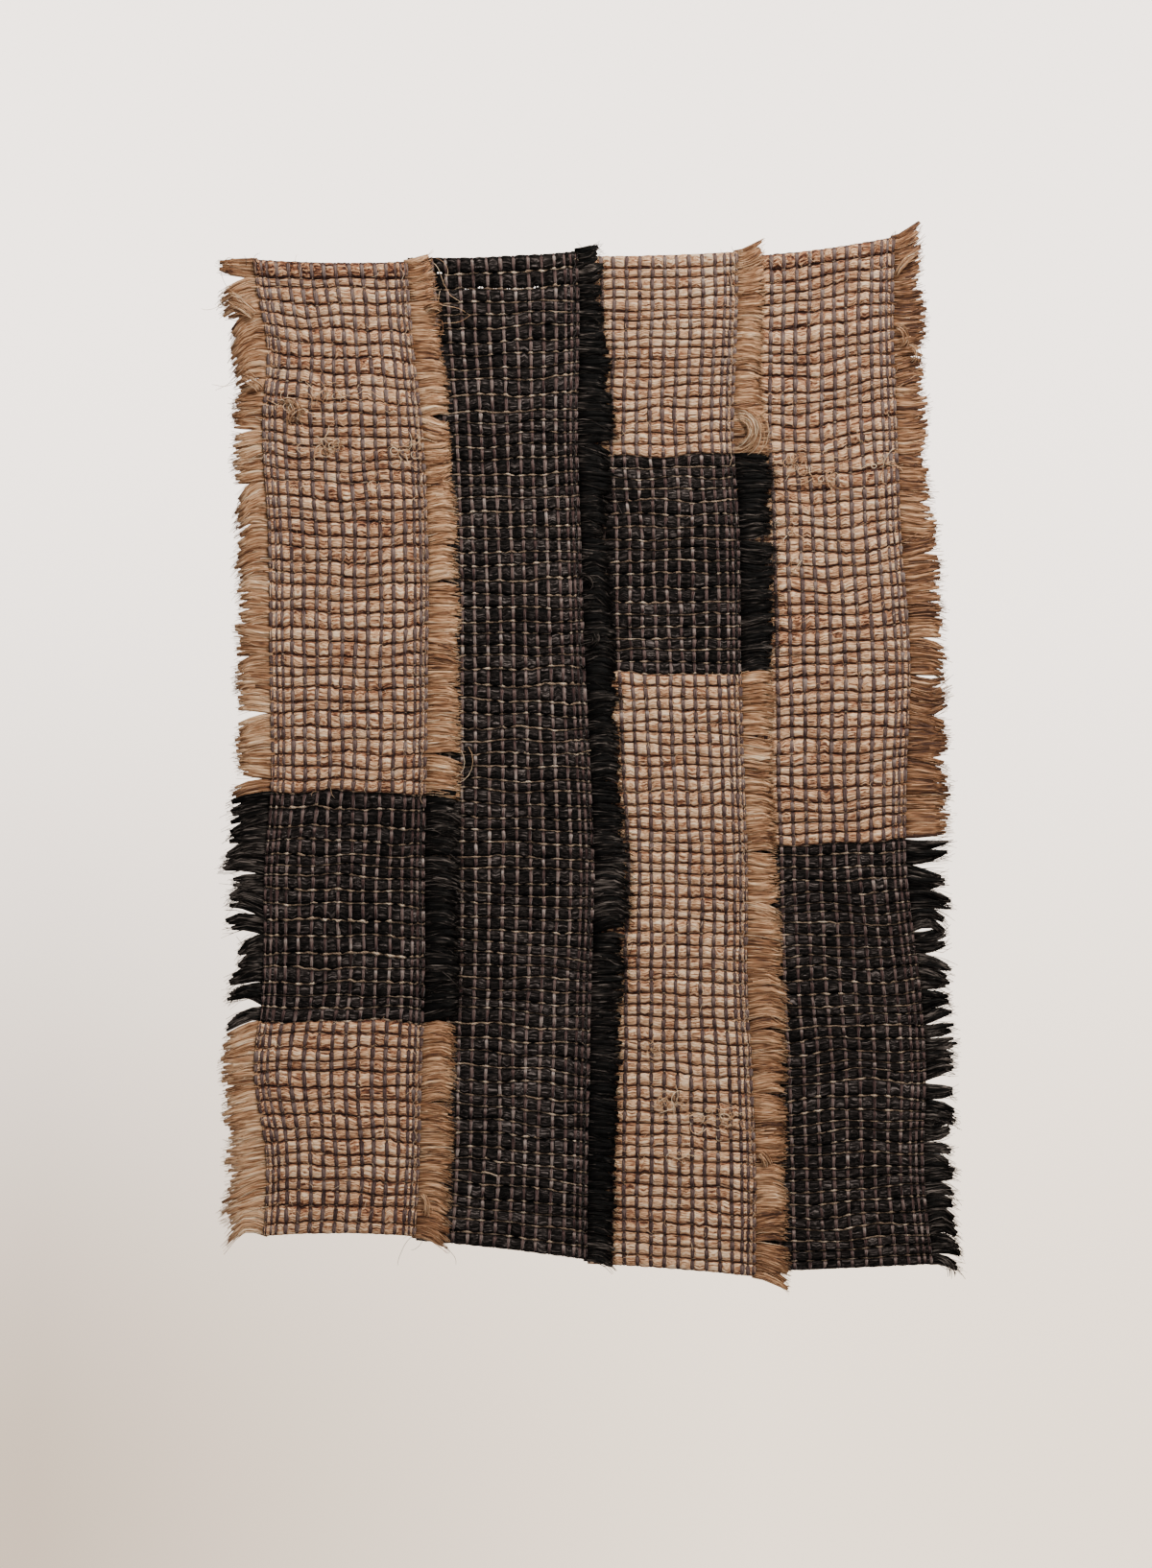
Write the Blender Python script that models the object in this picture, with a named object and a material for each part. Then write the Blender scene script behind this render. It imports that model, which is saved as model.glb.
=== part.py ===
"""Banana fibre cloth: four narrow hand-woven strips, sewn side by side into a wall hanging.

Each strip is one length of cloth. Thick bundles of banana fibre run across it as weft and make
its ribs, and their cut ends stand out past both selvedges as a fringe. The strips lap like
shingles: a strip's right fringe lies over the next strip, whose left fringe lies behind it.

Frame: metres, +Z up. The front faces -Y and the wall is the plane y = 0. The origin is the middle
of the top edge, on that wall. The tables are in millimetres.
"""
import math

import bmesh
import bpy
import numpy as np

MM = 0.001
COLLECTION = "banana_fibre_cloth"
SEED = 17

# The cloth, in millimetres.
THICKNESS = 4.6          # from rib to rib, front to back
RIB_HEIGHT = 0.8         # a rib's rise over the groove beside it, on each face
EDGE_GAP = 0.2           # what each strip stays short of the seam line
WALL_GAP = 0.3           # the back's nearest way to the wall
LAP = 3.4                # how far a strip's right edge stands forward of its left edge
COLUMNS = 3              # spans across a strip

# The fringes, in millimetres.
BACKING_WIDTH = 3.0      # the strip that the locks are rooted in
BACKING_GAP = 0.6        # between that strip and the selvedge
LAYER_GAP = 0.5          # between a fringe and the cloth that it lies over or behind
ROOT_THICKNESS = 2.9
HIDDEN_ROOT = 2.4        # thinner, where it lies behind the strip before it
OPEN_LIFT = 0.6          # an outer fringe's height over its selvedge's back
END_INSET = 1.0          # how far a fringe stops short of its strip's two ends
LOCKS = 42
HIDDEN_LOCKS = 20
HIDDEN_REACH = 17.0
BEND_AT = 0.55           # where a lock bends, as a share of its length
LOCK_CURVE = 1.6         # how much of its fall comes past the bend: 1 is a straight lock
TIP_LIFT = 0.6           # the tip's height over the layer that the lock follows
WELD = 0.01              # the two faces meet at the tip, within this
LOCK_SPREAD = {"natural": (0.94, 0.86), "black": (0.86, 0.62)}   # its width at the bend and tip
REACH_SPREAD = 0.09      # uneven cutting, as a share of the reach
DROOP = 5.0              # a lock's usual fall, in degrees
DROOP_SPREAD = 5.0
TOP_FLARE = 30.0         # how far the top locks turn up, in degrees
END_FLARE = 18.0         # how far the bottom locks turn down
FLARE_LENGTH = 16.0      # the stretch in which that fades

# Seam lines: height z, and x of the left selvedge, the three seams and the right selvedge.
SEAM_COLUMNS = ("z", "left", "seam_1", "seam_2", "seam_3", "right")
SEAMS = (
    (21, -229, -125, -10, 97, 203),
    (-20, -224, -122, -8, 98, 202),
    (-60, -217, -119, -8, 97, 202),
    (-110, -220, -113, -9, 95, 204),
    (-187, -216, -109, -7, 99, 207),
    (-276, -215, -109, -4, 100, 213),
    (-353, -214, -110, 0, 102, 210),
    (-404, -218, -111, 2, 104, 210),
    (-494, -220, -111, 0, 104, 220),
    (-545, -225, -113, -1, 107, 223),
    (-600, -217, -114, -2, 109, 221),
    (-689, -221, -119, -3, 109, 229),
)

# Fringe reach past the selvedge: height z, and the reach of the five fringes that show.
REACH_COLUMNS = ("z", "fringe_1_left", "fringe_1_right", "fringe_2_right", "fringe_3_right",
                 "fringe_4_right")
REACHES = (
    (21, 19, 15, 15, 16, 18),
    (-20, 25, 18, 16, 18, 20),
    (-91, 19, 20, 22, 19, 20),
    (-123, 19, 17, 24, 24, 19),
    (-187, 19, 19, 19, 20, 24),
    (-276, 21, 21, 21, 20, 25),
    (-353, 21, 23, 21, 20, 29),
    (-404, 22, 24, 24, 20, 26),
    (-494, 21, 23, 22, 25, 17),
    (-584, 23, 22, 20, 20, 20),
    (-689, 26, 21, 16, 22, 17),
)

# Ends of the strips: z of the top and bottom edge at the left selvedge, middle and right selvedge.
END_COLUMNS = ("strip", "top_left", "top_middle", "top_right",
               "bottom_left", "bottom_middle", "bottom_right")
ENDS = (
    (1, -2.5, -5.0, -4.5, -655, -653, -655),
    (2, -1.5, -1.0, 2.5, -658, -663, -670),
    (3, -0.5, 0.0, 2.0, -673, -676, -681),
    (4, -0.5, 3.5, 12.0, -678, -676, -673),
)

# Woven blocks, from the top down: the weft's colour, z at the block's lower end, and its rows.
BLOCK_COLUMNS = ("strip", "fibre", "end", "rows")
BLOCKS = (
    (1, "natural", -359, 41),
    (1, "black", -511, 16),
    (1, "natural", -653, 16),
    (2, "black", -663, 76),
    (3, "natural", -134, 19),
    (3, "black", -280, 18),
    (3, "natural", -676, 50),
    (4, "natural", -394, 48),
    (4, "black", -676, 37),
)

# The hang: how the cloth stands off the wall towards its foot, with two slow waves.
STAND_OFF = 4.0
STAND_OFF_CURVE = 9.0
DROP = 680.0
WAVE_ACROSS = (2.0, 430.0, 0.6)      # height at the foot, length and phase
WAVE_DOWN = (1.2, 310.0, 1.9)

# Puckers: where the weft was beaten unevenly, the cloth swells or dips in a short cross fold.
PUCKER_COLUMNS = ("x", "z", "rise", "half_width", "half_height", "slope")
PUCKERS = (
    (-168, -100, 1.7, 38, 11, -0.10),
    (-178, -118, -1.0, 38, 11, -0.05),
    (-50, -288, 1.2, 40, 14, -0.35),
    (60, -572, -1.5, 32, 11, 0.00),
    (55, -606, 1.6, 34, 13, 0.00),
    (155, -143, 1.8, 34, 11, -0.10),
    (165, -420, 1.3, 36, 13, 0.20),
    (172, -590, 1.6, 36, 14, -0.30),
    (-165, -470, 1.3, 36, 14, -0.25),
)

FIBRES = {
    "natural": {"colour": (0.305, 0.185, 0.115), "roughness": 0.72},
    "black": {"colour": (0.024, 0.019, 0.017), "roughness": 0.62},
}


def table(columns, rows):
    """Give each row of a table its columns' names."""
    return [dict(zip(columns, row)) for row in rows]


def column(columns, rows, name):
    """Read one column of a table, lowest z first, as its heights and values."""
    ordered = sorted(rows)
    index = columns.index(name)
    return [row[0] for row in ordered], [row[index] for row in ordered]


def smooth_between(z, heights, values):
    """Read a smooth curve through a table's values at the height z."""
    span = min(max(np.searchsorted(heights, z) - 1, 0), len(heights) - 2)
    slopes = np.gradient(values, heights)
    width = heights[span + 1] - heights[span]
    t = min(max((z - heights[span]) / width, 0.0), 1.0)
    lower, upper = values[span], values[span + 1]
    rise = (3 - 2 * t) * t * t
    bend = t * (1 - t) * ((1 - t) * slopes[span] - t * slopes[span + 1]) * width
    return lower + (upper - lower) * rise + bend


SEAM_CURVES = [column(SEAM_COLUMNS, SEAMS, name) for name in SEAM_COLUMNS[1:]]
REACH_CURVES = {name: column(REACH_COLUMNS, REACHES, name) for name in REACH_COLUMNS[1:]}
STRIP_ENDS = {row["strip"]: row for row in table(END_COLUMNS, ENDS)}
STRIP_BLOCKS = {
    strip: [row for row in table(BLOCK_COLUMNS, BLOCKS) if row["strip"] == strip]
    for strip in STRIP_ENDS
}
PUCKER_ROWS = table(PUCKER_COLUMNS, PUCKERS)


def seam_x(seam, z):
    """x of a seam line, from 0 at the left selvedge to 4 at the right one."""
    return smooth_between(z, *SEAM_CURVES[seam])


def across(left, middle, right, u):
    """A parabola through three values at u = 0, 0.5 and 1."""
    return left * (1 - u) * (1 - 2 * u) + 4 * middle * u * (1 - u) + right * u * (2 * u - 1)


def row_level(strip, rows_down):
    """z in the strip's middle, a number of rows below its top edge."""
    start = STRIP_ENDS[strip]["top_middle"]
    for block in STRIP_BLOCKS[strip]:
        if rows_down <= block["rows"]:
            return start + (block["end"] - start) * rows_down / block["rows"]
        rows_down -= block["rows"]
        start = block["end"]
    return start


def fibre_at(strip, z):
    """The weft's colour at the height z."""
    for block in STRIP_BLOCKS[strip]:
        if z > block["end"]:
            return block["fibre"]
    return STRIP_BLOCKS[strip][-1]["fibre"]


def sagged(strip, level, u):
    """z of a row at u across the strip: the rows follow the curved ends, and level out between."""
    ends = STRIP_ENDS[strip]
    down = (level - ends["top_middle"]) / (ends["bottom_middle"] - ends["top_middle"])
    top = across(ends["top_left"], ends["top_middle"], ends["top_right"], u) - ends["top_middle"]
    foot = across(ends["bottom_left"], ends["bottom_middle"], ends["bottom_right"], u)
    foot -= ends["bottom_middle"]
    return level + top * (1 - down) ** 2 + foot * down ** 2


def stand_off(x, z):
    """How far the cloth's back stands off the wall at x, z, but for the lap of its strip."""
    down = min(max(-z / DROP, 0.0), 1.0)
    depth = STAND_OFF * down + STAND_OFF_CURVE * down * down
    for (height, length, phase), along in ((WAVE_ACROSS, x), (WAVE_DOWN, z)):
        depth += height * down * math.sin(2 * math.pi * along / length + phase)
    for pucker in PUCKER_ROWS:
        side = (x - pucker["x"]) / pucker["half_width"]
        up = (z - pucker["z"] - pucker["slope"] * (x - pucker["x"])) / pucker["half_height"]
        depth += pucker["rise"] * math.exp(-side * side - up * up)
    return depth


def lap_at(strip, x, z):
    """How far the strip's back stands forward at x, from 0 at its left edge to LAP."""
    left, right = seam_x(strip - 1, z), seam_x(strip, z)
    return LAP * min(max((x - left) / (right - left), 0.0), 1.0)


def place(x, z, depth):
    """A point in metres, from x, z and the way out from the hanging cloth's back."""
    return x * MM, -(WALL_GAP + stand_off(x, z) + depth) * MM, z * MM


def make_material(name, colour, roughness):
    material = bpy.data.materials.new(name)
    material.use_nodes = True
    shader = material.node_tree.nodes["Principled BSDF"]
    shader.inputs["Base Color"].default_value = (*colour, 1.0)
    shader.inputs["Roughness"].default_value = roughness
    shader.inputs["Metallic"].default_value = 0.0
    return material


def cut_block(cuts_down, cuts_across):
    """A block of size 1, cut into rows down its height and columns across its width."""
    shape = bmesh.new()
    bmesh.ops.create_cube(shape, size=1.0)
    for axis, cuts in ((2, cuts_down), (0, cuts_across)):
        if cuts:
            edges = [edge for edge in shape.edges
                     if edge.verts[0].co[axis] * edge.verts[1].co[axis] < 0]
            bmesh.ops.subdivide_edges(shape, edges=edges, cuts=cuts, use_grid_fill=True)
    return shape


def add_object(name, shape, fibres, collection):
    """Make a mesh object of a finished shape and link it."""
    mesh = bpy.data.meshes.new(name)
    shape.to_mesh(mesh)
    shape.free()
    for fibre in fibres:
        mesh.materials.append(fibre)
    piece = bpy.data.objects.new(name, mesh)
    collection.objects.link(piece)
    return piece


def weave_strip(strip, materials, collection):
    """One strip: a slab with a rib for each weft on both faces, and a groove between ribs."""
    rows = sum(block["rows"] for block in STRIP_BLOCKS[strip])
    shape = cut_block(2 * rows - 1, COLUMNS - 1)
    for face in shape.faces:
        level = row_level(strip, (0.5 - face.calc_center_median().z) * rows)
        face.material_index = int(fibre_at(strip, level) == "black")
    for vert in shape.verts:
        u = vert.co.x + 0.5
        half_rows = round((0.5 - vert.co.z) * 2 * rows)
        side = 1 if vert.co.y < 0 else -1
        z = sagged(strip, row_level(strip, half_rows / 2), u)
        left = seam_x(strip - 1, z) + EDGE_GAP
        right = seam_x(strip, z) - EDGE_GAP
        x = left + (right - left) * u
        half = THICKNESS / 2 - (0 if half_rows % 2 else RIB_HEIGHT)
        vert.co = place(x, z, lap_at(strip, x, z) + THICKNESS / 2 + side * half)
    return add_object(f"strip_{strip}", shape, materials.values(), collection)


def fringe_layout(strip, side):
    """Where a fringe lies: its backing's depth, its root's thickness and the layer it follows."""
    if side == "right" and strip < len(STRIP_ENDS):
        return {"over": strip + 1, "base": THICKNESS + LAYER_GAP, "root": ROOT_THICKNESS}
    if side == "right":
        return {"over": None, "base": LAP + OPEN_LIFT, "root": ROOT_THICKNESS}
    if strip > 1:
        return {"over": None, "base": 0.0, "root": HIDDEN_ROOT}
    return {"over": None, "base": OPEN_LIFT, "root": ROOT_THICKNESS}


def lock_turn(z, top, bottom, side, rng):
    """A lock's turn from level, in radians: up at the strip's top, down at its foot."""
    turn = -DROOP + rng.uniform(-DROOP_SPREAD, DROOP_SPREAD)
    if side == "right":
        turn += TOP_FLARE * math.exp((z - top) / FLARE_LENGTH)
    turn -= END_FLARE * math.exp((bottom - z) / FLARE_LENGTH)
    return math.radians(turn)


def cut_fringe(strip, side, materials, collection, rng):
    """One fringe: a narrow backing along the selvedge, and the locks drawn out of its edge."""
    name = f"fringe_{strip}_{side}"
    out = 1 if side == "right" else -1
    seam = strip if side == "right" else strip - 1
    hidden = side == "left" and strip > 1
    locks = HIDDEN_LOCKS if hidden else LOCKS
    layout = fringe_layout(strip, side)
    edge_u = 1.0 if side == "right" else 0.0
    ends = STRIP_ENDS[strip]
    top = sagged(strip, ends["top_middle"], edge_u) - END_INSET
    bottom = sagged(strip, ends["bottom_middle"], edge_u) + END_INSET
    near = BACKING_GAP - EDGE_GAP

    def put(reach, z, rise):
        """A point of the fringe, from its reach past the seam and its rise over the back."""
        x = seam_x(seam, z) + out * reach
        depth = layout["base"] + rise
        if layout["over"]:
            depth += lap_at(layout["over"], x, z)
        return place(x, z, depth)

    shape = cut_block(locks - 1, 0)
    roots = [face for face in shape.faces if all(vert.co.x * out > 0 for vert in face.verts)]
    roots.sort(key=lambda face: -face.calc_center_median().z)
    for vert in shape.verts:
        far = vert.co.x * out > 0
        z = top + (bottom - top) * (0.5 - vert.co.z)
        rise = layout["root"] if vert.co.y < 0 else 0.0
        vert.co = put(near + (BACKING_WIDTH if far else 0.0), z, rise)

    for face in roots:
        root_z = face.calc_center_median().z / MM
        fibre = fibre_at(strip, root_z)
        reach = HIDDEN_REACH if hidden else smooth_between(root_z, *REACH_CURVES[name])
        reach *= 1 + rng.uniform(-REACH_SPREAD, REACH_SPREAD)
        length = reach - near - BACKING_WIDTH
        fall = math.tan(lock_turn(root_z, top, bottom, side, rng))
        half_width = (top - bottom) / locks / 2
        face.material_index = int(fibre == "black")
        for share, spread in zip((BEND_AT, 1.0), LOCK_SPREAD[fibre]):
            if hidden and share < 1.0:
                continue
            face = bmesh.ops.extrude_discrete_faces(shape, faces=[face])["faces"][0]
            face.material_index = int(fibre == "black")
            last = face.calc_center_median()
            middle_z = root_z + fall * length * share ** LOCK_CURVE
            thickness = layout["root"] * (1 - share)
            for vert in face.verts:
                z = middle_z + math.copysign(half_width * spread, vert.co.z - last.z)
                rise = TIP_LIFT * share + (thickness if vert.co.y < last.y else 0.0)
                vert.co = put(near + BACKING_WIDTH + length * share, z, rise)
        bmesh.ops.remove_doubles(shape, verts=list(face.verts), dist=WELD * MM)
    return add_object(name, shape, materials.values(), collection)


for old in list(bpy.data.objects):
    bpy.data.objects.remove(old)

cloth = bpy.data.collections.new(COLLECTION)
bpy.context.scene.collection.children.link(cloth)
fibre_materials = {
    name: make_material(f"{name}_banana_fibre", **look) for name, look in FIBRES.items()
}
draws = np.random.default_rng(SEED)
for number in STRIP_ENDS:
    weave_strip(number, fibre_materials, cloth)
    for edge in ("left", "right"):
        cut_fringe(number, edge, fibre_materials, cloth, draws)
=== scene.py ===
"""Banana fibre cloth: four narrow strips, hand-woven of thick banana fibre bundles, sewn side by
side and hung by their top edge.

Frame: metres, +Z up. The front faces -Y, and the origin is the middle of the top edge, on the
plane behind the cloth. Tables and sizes are in millimetres and angles in degrees, where nothing
else is said. Points turn to metres when they are set on a mesh.
"""
import math

import bpy
import numpy as np
from mathutils import Matrix, Vector


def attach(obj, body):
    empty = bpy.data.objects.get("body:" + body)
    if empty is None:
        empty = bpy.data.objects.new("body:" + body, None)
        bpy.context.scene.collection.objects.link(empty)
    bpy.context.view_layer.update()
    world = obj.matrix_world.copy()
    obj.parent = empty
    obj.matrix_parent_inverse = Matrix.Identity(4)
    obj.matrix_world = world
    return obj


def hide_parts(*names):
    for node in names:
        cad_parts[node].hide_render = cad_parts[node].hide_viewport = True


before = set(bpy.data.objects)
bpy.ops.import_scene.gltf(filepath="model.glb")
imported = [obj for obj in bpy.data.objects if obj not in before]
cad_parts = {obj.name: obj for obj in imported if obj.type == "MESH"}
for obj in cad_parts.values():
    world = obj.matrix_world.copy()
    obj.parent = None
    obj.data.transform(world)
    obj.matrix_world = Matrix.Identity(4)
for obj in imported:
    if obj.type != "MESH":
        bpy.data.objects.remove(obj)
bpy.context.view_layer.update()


# The wefts. Each row of a strip is one thick bundle of banana fibre, undyed or dyed black, laid
# through by hand and beaten down. It swells between the warps and is pinched where one crosses.
MM = 0.001
THICKNESS = 4.6
EDGE_GAP = 0.2           # from a seam line to the selvedge on each side of it
BACK_GAP = 0.3           # from the plane behind to the back of the cloth at its top
LAP = 3.4                # how far a strip's right edge stands forward of its left edge
SEAMS = (                # z, and x of the left selvedge, the three seams and the right selvedge
    (21, -229, -125, -10, 97, 203),
    (-20, -224, -122, -8, 98, 202),
    (-60, -217, -119, -8, 97, 202),
    (-110, -220, -113, -9, 95, 204),
    (-187, -216, -109, -7, 99, 207),
    (-276, -215, -109, -4, 100, 213),
    (-353, -214, -110, 0, 102, 210),
    (-404, -218, -111, 2, 104, 210),
    (-494, -220, -111, 0, 104, 220),
    (-545, -225, -113, -1, 107, 223),
    (-600, -217, -114, -2, 109, 221),
    (-689, -221, -119, -3, 109, 229),
)
ENDS = {                 # z of a strip's top at its left, middle and right, and of its foot
    1: (-2.5, -5.0, -4.5, -655, -653, -655),
    2: (-1.5, -1.0, 2.5, -658, -663, -670),
    3: (-0.5, 0.0, 2.0, -673, -676, -681),
    4: (-0.5, 3.5, 12.0, -678, -676, -673),
}
BLOCKS = {               # which fibre, down to which z, and in how many rows
    1: (("natural", -359, 41), ("black", -511, 16), ("natural", -653, 16)),
    2: (("black", -663, 76),),
    3: (("natural", -134, 19), ("black", -280, 18), ("natural", -676, 50)),
    4: (("natural", -394, 48), ("black", -676, 37)),
}
ROW_SEED = 100
ROW_SPREAD = 0.12        # how unevenly the rows are beaten, as a share of their height
ROW_LIMITS = (0.75, 1.3)
TOP_ROW = 1.25           # the first row is a doubled bundle

# The hang: how the cloth stands forward towards its foot, with two slow waves and puckers.
STAND_OFF = 4.0          # at the foot, on a straight line
STAND_OFF_CURVE = 9.0    # and what a curve adds to that
DROP = 680.0             # from the top edge to the foot
WAVE_ACROSS = (2.0, 430.0, 0.6)      # height at the foot, length, and phase in radians
WAVE_DOWN = (1.2, 310.0, 1.9)
PUCKERS = (              # x, z, rise, half width, half height and slope
    (-168, -100, 1.7, 38, 11, -0.10),
    (-178, -118, -1.0, 38, 11, -0.05),
    (-50, -288, 1.2, 40, 14, -0.35),
    (60, -572, -1.5, 32, 11, 0.00),
    (55, -606, 1.6, 34, 13, 0.00),
    (155, -143, 1.8, 34, 11, -0.10),
    (165, -420, 1.3, 36, 13, 0.20),
    (172, -590, 1.6, 36, 14, -0.30),
    (-165, -470, 1.3, 36, 14, -0.25),
)
SLOW_WAVES = 6           # how many waves each unevenness below is made of
BEAT_RIPPLE = {1: 1.1, 2: 0.8, 3: 0.6, 4: 1.2}     # how far a strip's rows stray up or down
BEAT_SWELLS = (200, 0.8, 45.0)       # seed, and a swell's usual width in strips and height
CALM_END = 25.0          # rows nearer than this to an end lie straighter
TILTS = {1: (-85, 55, 3.0, 6.0)}     # where rows slant: z, half height, left rise, right drop
WARP_RIPPLE = 0.45       # how far a warp strays sideways
WARP_SWELLS = (300, 0.5, 120.0)
FACE_RIPPLE = 0.35       # how far the face swells in or out
FACE_SWELLS = (400, 0.3, 25.0)


def through(rows, column, z):
    """Read a smooth curve through one column of a table, at the heights z."""
    ordered = np.array(sorted(rows), dtype=float)
    heights, values = ordered[:, 0], ordered[:, column]
    slopes = np.gradient(values, heights)
    span = np.clip(np.searchsorted(heights, z) - 1, 0, len(heights) - 2)
    width = heights[span + 1] - heights[span]
    t = np.clip((z - heights[span]) / width, 0, 1)
    rise = (3 - 2 * t) * t * t
    bend = t * (1 - t) * ((1 - t) * slopes[span] - t * slopes[span + 1]) * width
    return values[span] + (values[span + 1] - values[span]) * rise + bend


def seam_x(seam, z):
    """x of a seam line, from 0 at the left selvedge to 4 at the right one."""
    return through(SEAMS, seam + 1, z)


def across(left, middle, right, u):
    """A parabola through three values at u = 0, 0.5 and 1."""
    return left * (1 - u) * (1 - 2 * u) + 4 * middle * u * (1 - u) + right * u * (2 * u - 1)


def sagged(strip, level, u):
    """z of a row at u across the strip: the rows follow the curved ends, and level out between."""
    top_left, top, top_right, foot_left, foot, foot_right = ENDS[strip]
    down = (level - top) / (foot - top)
    head = across(top_left, top, top_right, u) - top
    hem = across(foot_left, foot, foot_right, u) - foot
    return level + head * (1 - down) ** 2 + hem * down ** 2


def stand_off(x, z):
    """How far the cloth's back stands forward at x, z, but for the lap of its strip."""
    down = np.clip(-z / DROP, 0, 1)
    depth = STAND_OFF * down + STAND_OFF_CURVE * down * down
    for (height, length, phase), along in ((WAVE_ACROSS, x), (WAVE_DOWN, z)):
        depth = depth + height * down * np.sin(2 * math.pi * along / length + phase)
    for middle_x, middle_z, rise, half_width, half_height, slope in PUCKERS:
        side = (x - middle_x) / half_width
        up = (z - middle_z - slope * (x - middle_x)) / half_height
        depth = depth + rise * np.exp(-side * side - up * up)
    return depth


def lap_at(strip, x, z):
    """How far the strip's back stands forward at x, from 0 at its left edge to LAP."""
    left, right = seam_x(strip - 1, z), seam_x(strip, z)
    return LAP * np.clip((x - left) / (right - left), 0, 1)


def ripple(swells, strip, u, level):
    """A smooth uneven value about 1 high over a strip, with swells of about the given size."""
    seed, width, height = swells
    rng = np.random.default_rng(seed + strip)
    total = 0.0
    for _ in range(SLOW_WAVES):
        turns = rng.normal(0, 1 / width) * u + rng.normal(0, 1 / height) * level
        total = total + np.sin(2 * math.pi * (turns + rng.uniform()))
    return total / math.sqrt(SLOW_WAVES / 2)


def beat_rows(strip):
    """The rows of a strip from the top down: z of their edges, and which ones are black."""
    rng = np.random.default_rng(ROW_SEED + strip)
    edges = [ENDS[strip][1]]
    black = []
    for fibre, end, count in BLOCKS[strip]:
        heights = rng.normal(1, ROW_SPREAD, count).clip(*ROW_LIMITS)
        if not black:
            heights[0] = TOP_ROW
        heights *= (edges[-1] - end) / heights.sum()
        edges.extend(edges[-1] - np.cumsum(heights))
        black += [fibre == "black"] * count
    return np.array(edges), np.array(black)


ROWS = {strip: beat_rows(strip) for strip in ENDS}


def hang(strip, u, rows_down, out):
    """Hang points of a strip: u across it, rows_down from its top, out from its middle layer."""
    edges = ROWS[strip][0]
    level = np.interp(rows_down, np.arange(len(edges)), edges)
    calm = np.clip(np.minimum(edges[0] - level, level - edges[-1]) / CALM_END, 0, 1)
    level = level + BEAT_RIPPLE[strip] * calm * ripple(BEAT_SWELLS, strip, u, level)
    if strip in TILTS:
        middle, half_height, rise, drop = TILTS[strip]
        slant = rise * (1 - u) - drop * u
        level = level + calm * slant * np.exp(-((level - middle) / half_height) ** 2)
    z = sagged(strip, level, u)
    left = seam_x(strip - 1, z) + EDGE_GAP
    right = seam_x(strip, z) - EDGE_GAP
    x = left + (right - left) * u
    x = x + WARP_RIPPLE * ripple(WARP_SWELLS, strip, u, level) * 4 * u * (1 - u)
    swell = FACE_RIPPLE * ripple(FACE_SWELLS, strip, u, level)
    depth = BACK_GAP + stand_off(x, z) + LAP * u + THICKNESS / 2 + out + swell
    depth = np.maximum(depth, BACK_GAP)
    return np.stack((x, -depth, z), axis=1)


RING_PLAY = 0.01         # an edge that reaches further than this along a tube isn't part of a ring


def lay_tube(name, sides, radius, length, pieces, axis):
    """Lay a closed tube along X, or hang it along Z, from the origin, cut by rings into pieces.

    pieces holds one or more numbers, each the pieces that those before it are cut into again.
    """
    turn = (0, math.pi / 2, 0) if axis == 0 else (0, 0, 0)
    middle = (length / 2, 0, 0) if axis == 0 else (0, 0, -length / 2)
    bpy.ops.object.select_all(action="DESELECT")
    bpy.ops.mesh.primitive_cylinder_add(vertices=sides, radius=radius * MM, depth=length * MM,
                                        calc_uvs=False, location=Vector(middle) * MM,
                                        rotation=turn)
    tube = bpy.context.object
    tube.name = name
    tube.data.name = name
    bpy.ops.object.transform_apply(location=True, rotation=True, scale=True)
    mesh = tube.data
    bpy.context.tool_settings.mesh_select_mode = (False, True, False)
    for number in pieces:
        for part in (*mesh.vertices, *mesh.polygons):
            part.select = False
        for edge in mesh.edges:
            ends = [mesh.vertices[index].co[axis] for index in edge.vertices]
            edge.select = abs(ends[0] - ends[1]) > RING_PLAY * MM
        bpy.ops.object.mode_set(mode="EDIT")
        bpy.ops.mesh.subdivide(number_cuts=number - 1)
        bpy.ops.object.mode_set(mode="OBJECT")
    return tube


def repeat(piece, count, step):
    """Repeat a piece along a straight line, count times in all."""
    bpy.context.view_layer.objects.active = piece
    bpy.ops.object.modifier_add(type="ARRAY")
    array = piece.modifiers[-1]
    array.count = count
    array.use_relative_offset = False
    array.use_constant_offset = True
    array.constant_offset_displace = Vector(step) * MM
    bpy.ops.object.modifier_apply(modifier=array.name)


def join(pieces):
    """Join pieces into the first of them."""
    bpy.ops.object.select_all(action="DESELECT")
    for piece in pieces:
        piece.select_set(True)
    bpy.context.view_layer.objects.active = pieces[0]
    bpy.ops.object.join()
    return pieces[0]


def places(items, attribute):
    """Where a mesh's vertices ("co") or the middles of its faces ("center") are, in millimetres."""
    values = np.empty(len(items) * 3)
    items.foreach_get(attribute, values)
    return values.reshape(-1, 3) / MM


def set_points(piece, points):
    """Move a mesh's points to their places, given in millimetres."""
    piece.data.vertices.foreach_set("co", (points * MM).ravel())
    piece.data.update()


def mark(piece, grain, tint, painted_valley_mask=None):
    """Give a piece's points their place along the fibres, in millimetres, and their shade.

    The mask of painted shade is 0 on a bundle's middle and 1 down between two bundles, where the
    fibre is darkened as if shadowed.
    """
    piece.data.attributes.new("grain", "FLOAT_VECTOR", "POINT")
    piece.data.attributes["grain"].data.foreach_set("vector", grain.ravel())
    for name, values in (("tint", tint), ("painted_valley_mask", painted_valley_mask)):
        if values is not None:
            piece.data.attributes.new(name, "FLOAT", "POINT")
            piece.data.attributes[name].data.foreach_set("value", values.ravel())


def dress(piece, materials, second=None):
    """Give a piece its materials, the second one on the faces marked so, and shade it smooth."""
    for material in materials:
        piece.data.materials.append(material)
    if second is not None:
        piece.data.polygons.foreach_set("material_index", second.astype(int))
    piece.data.shade_smooth()


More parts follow.
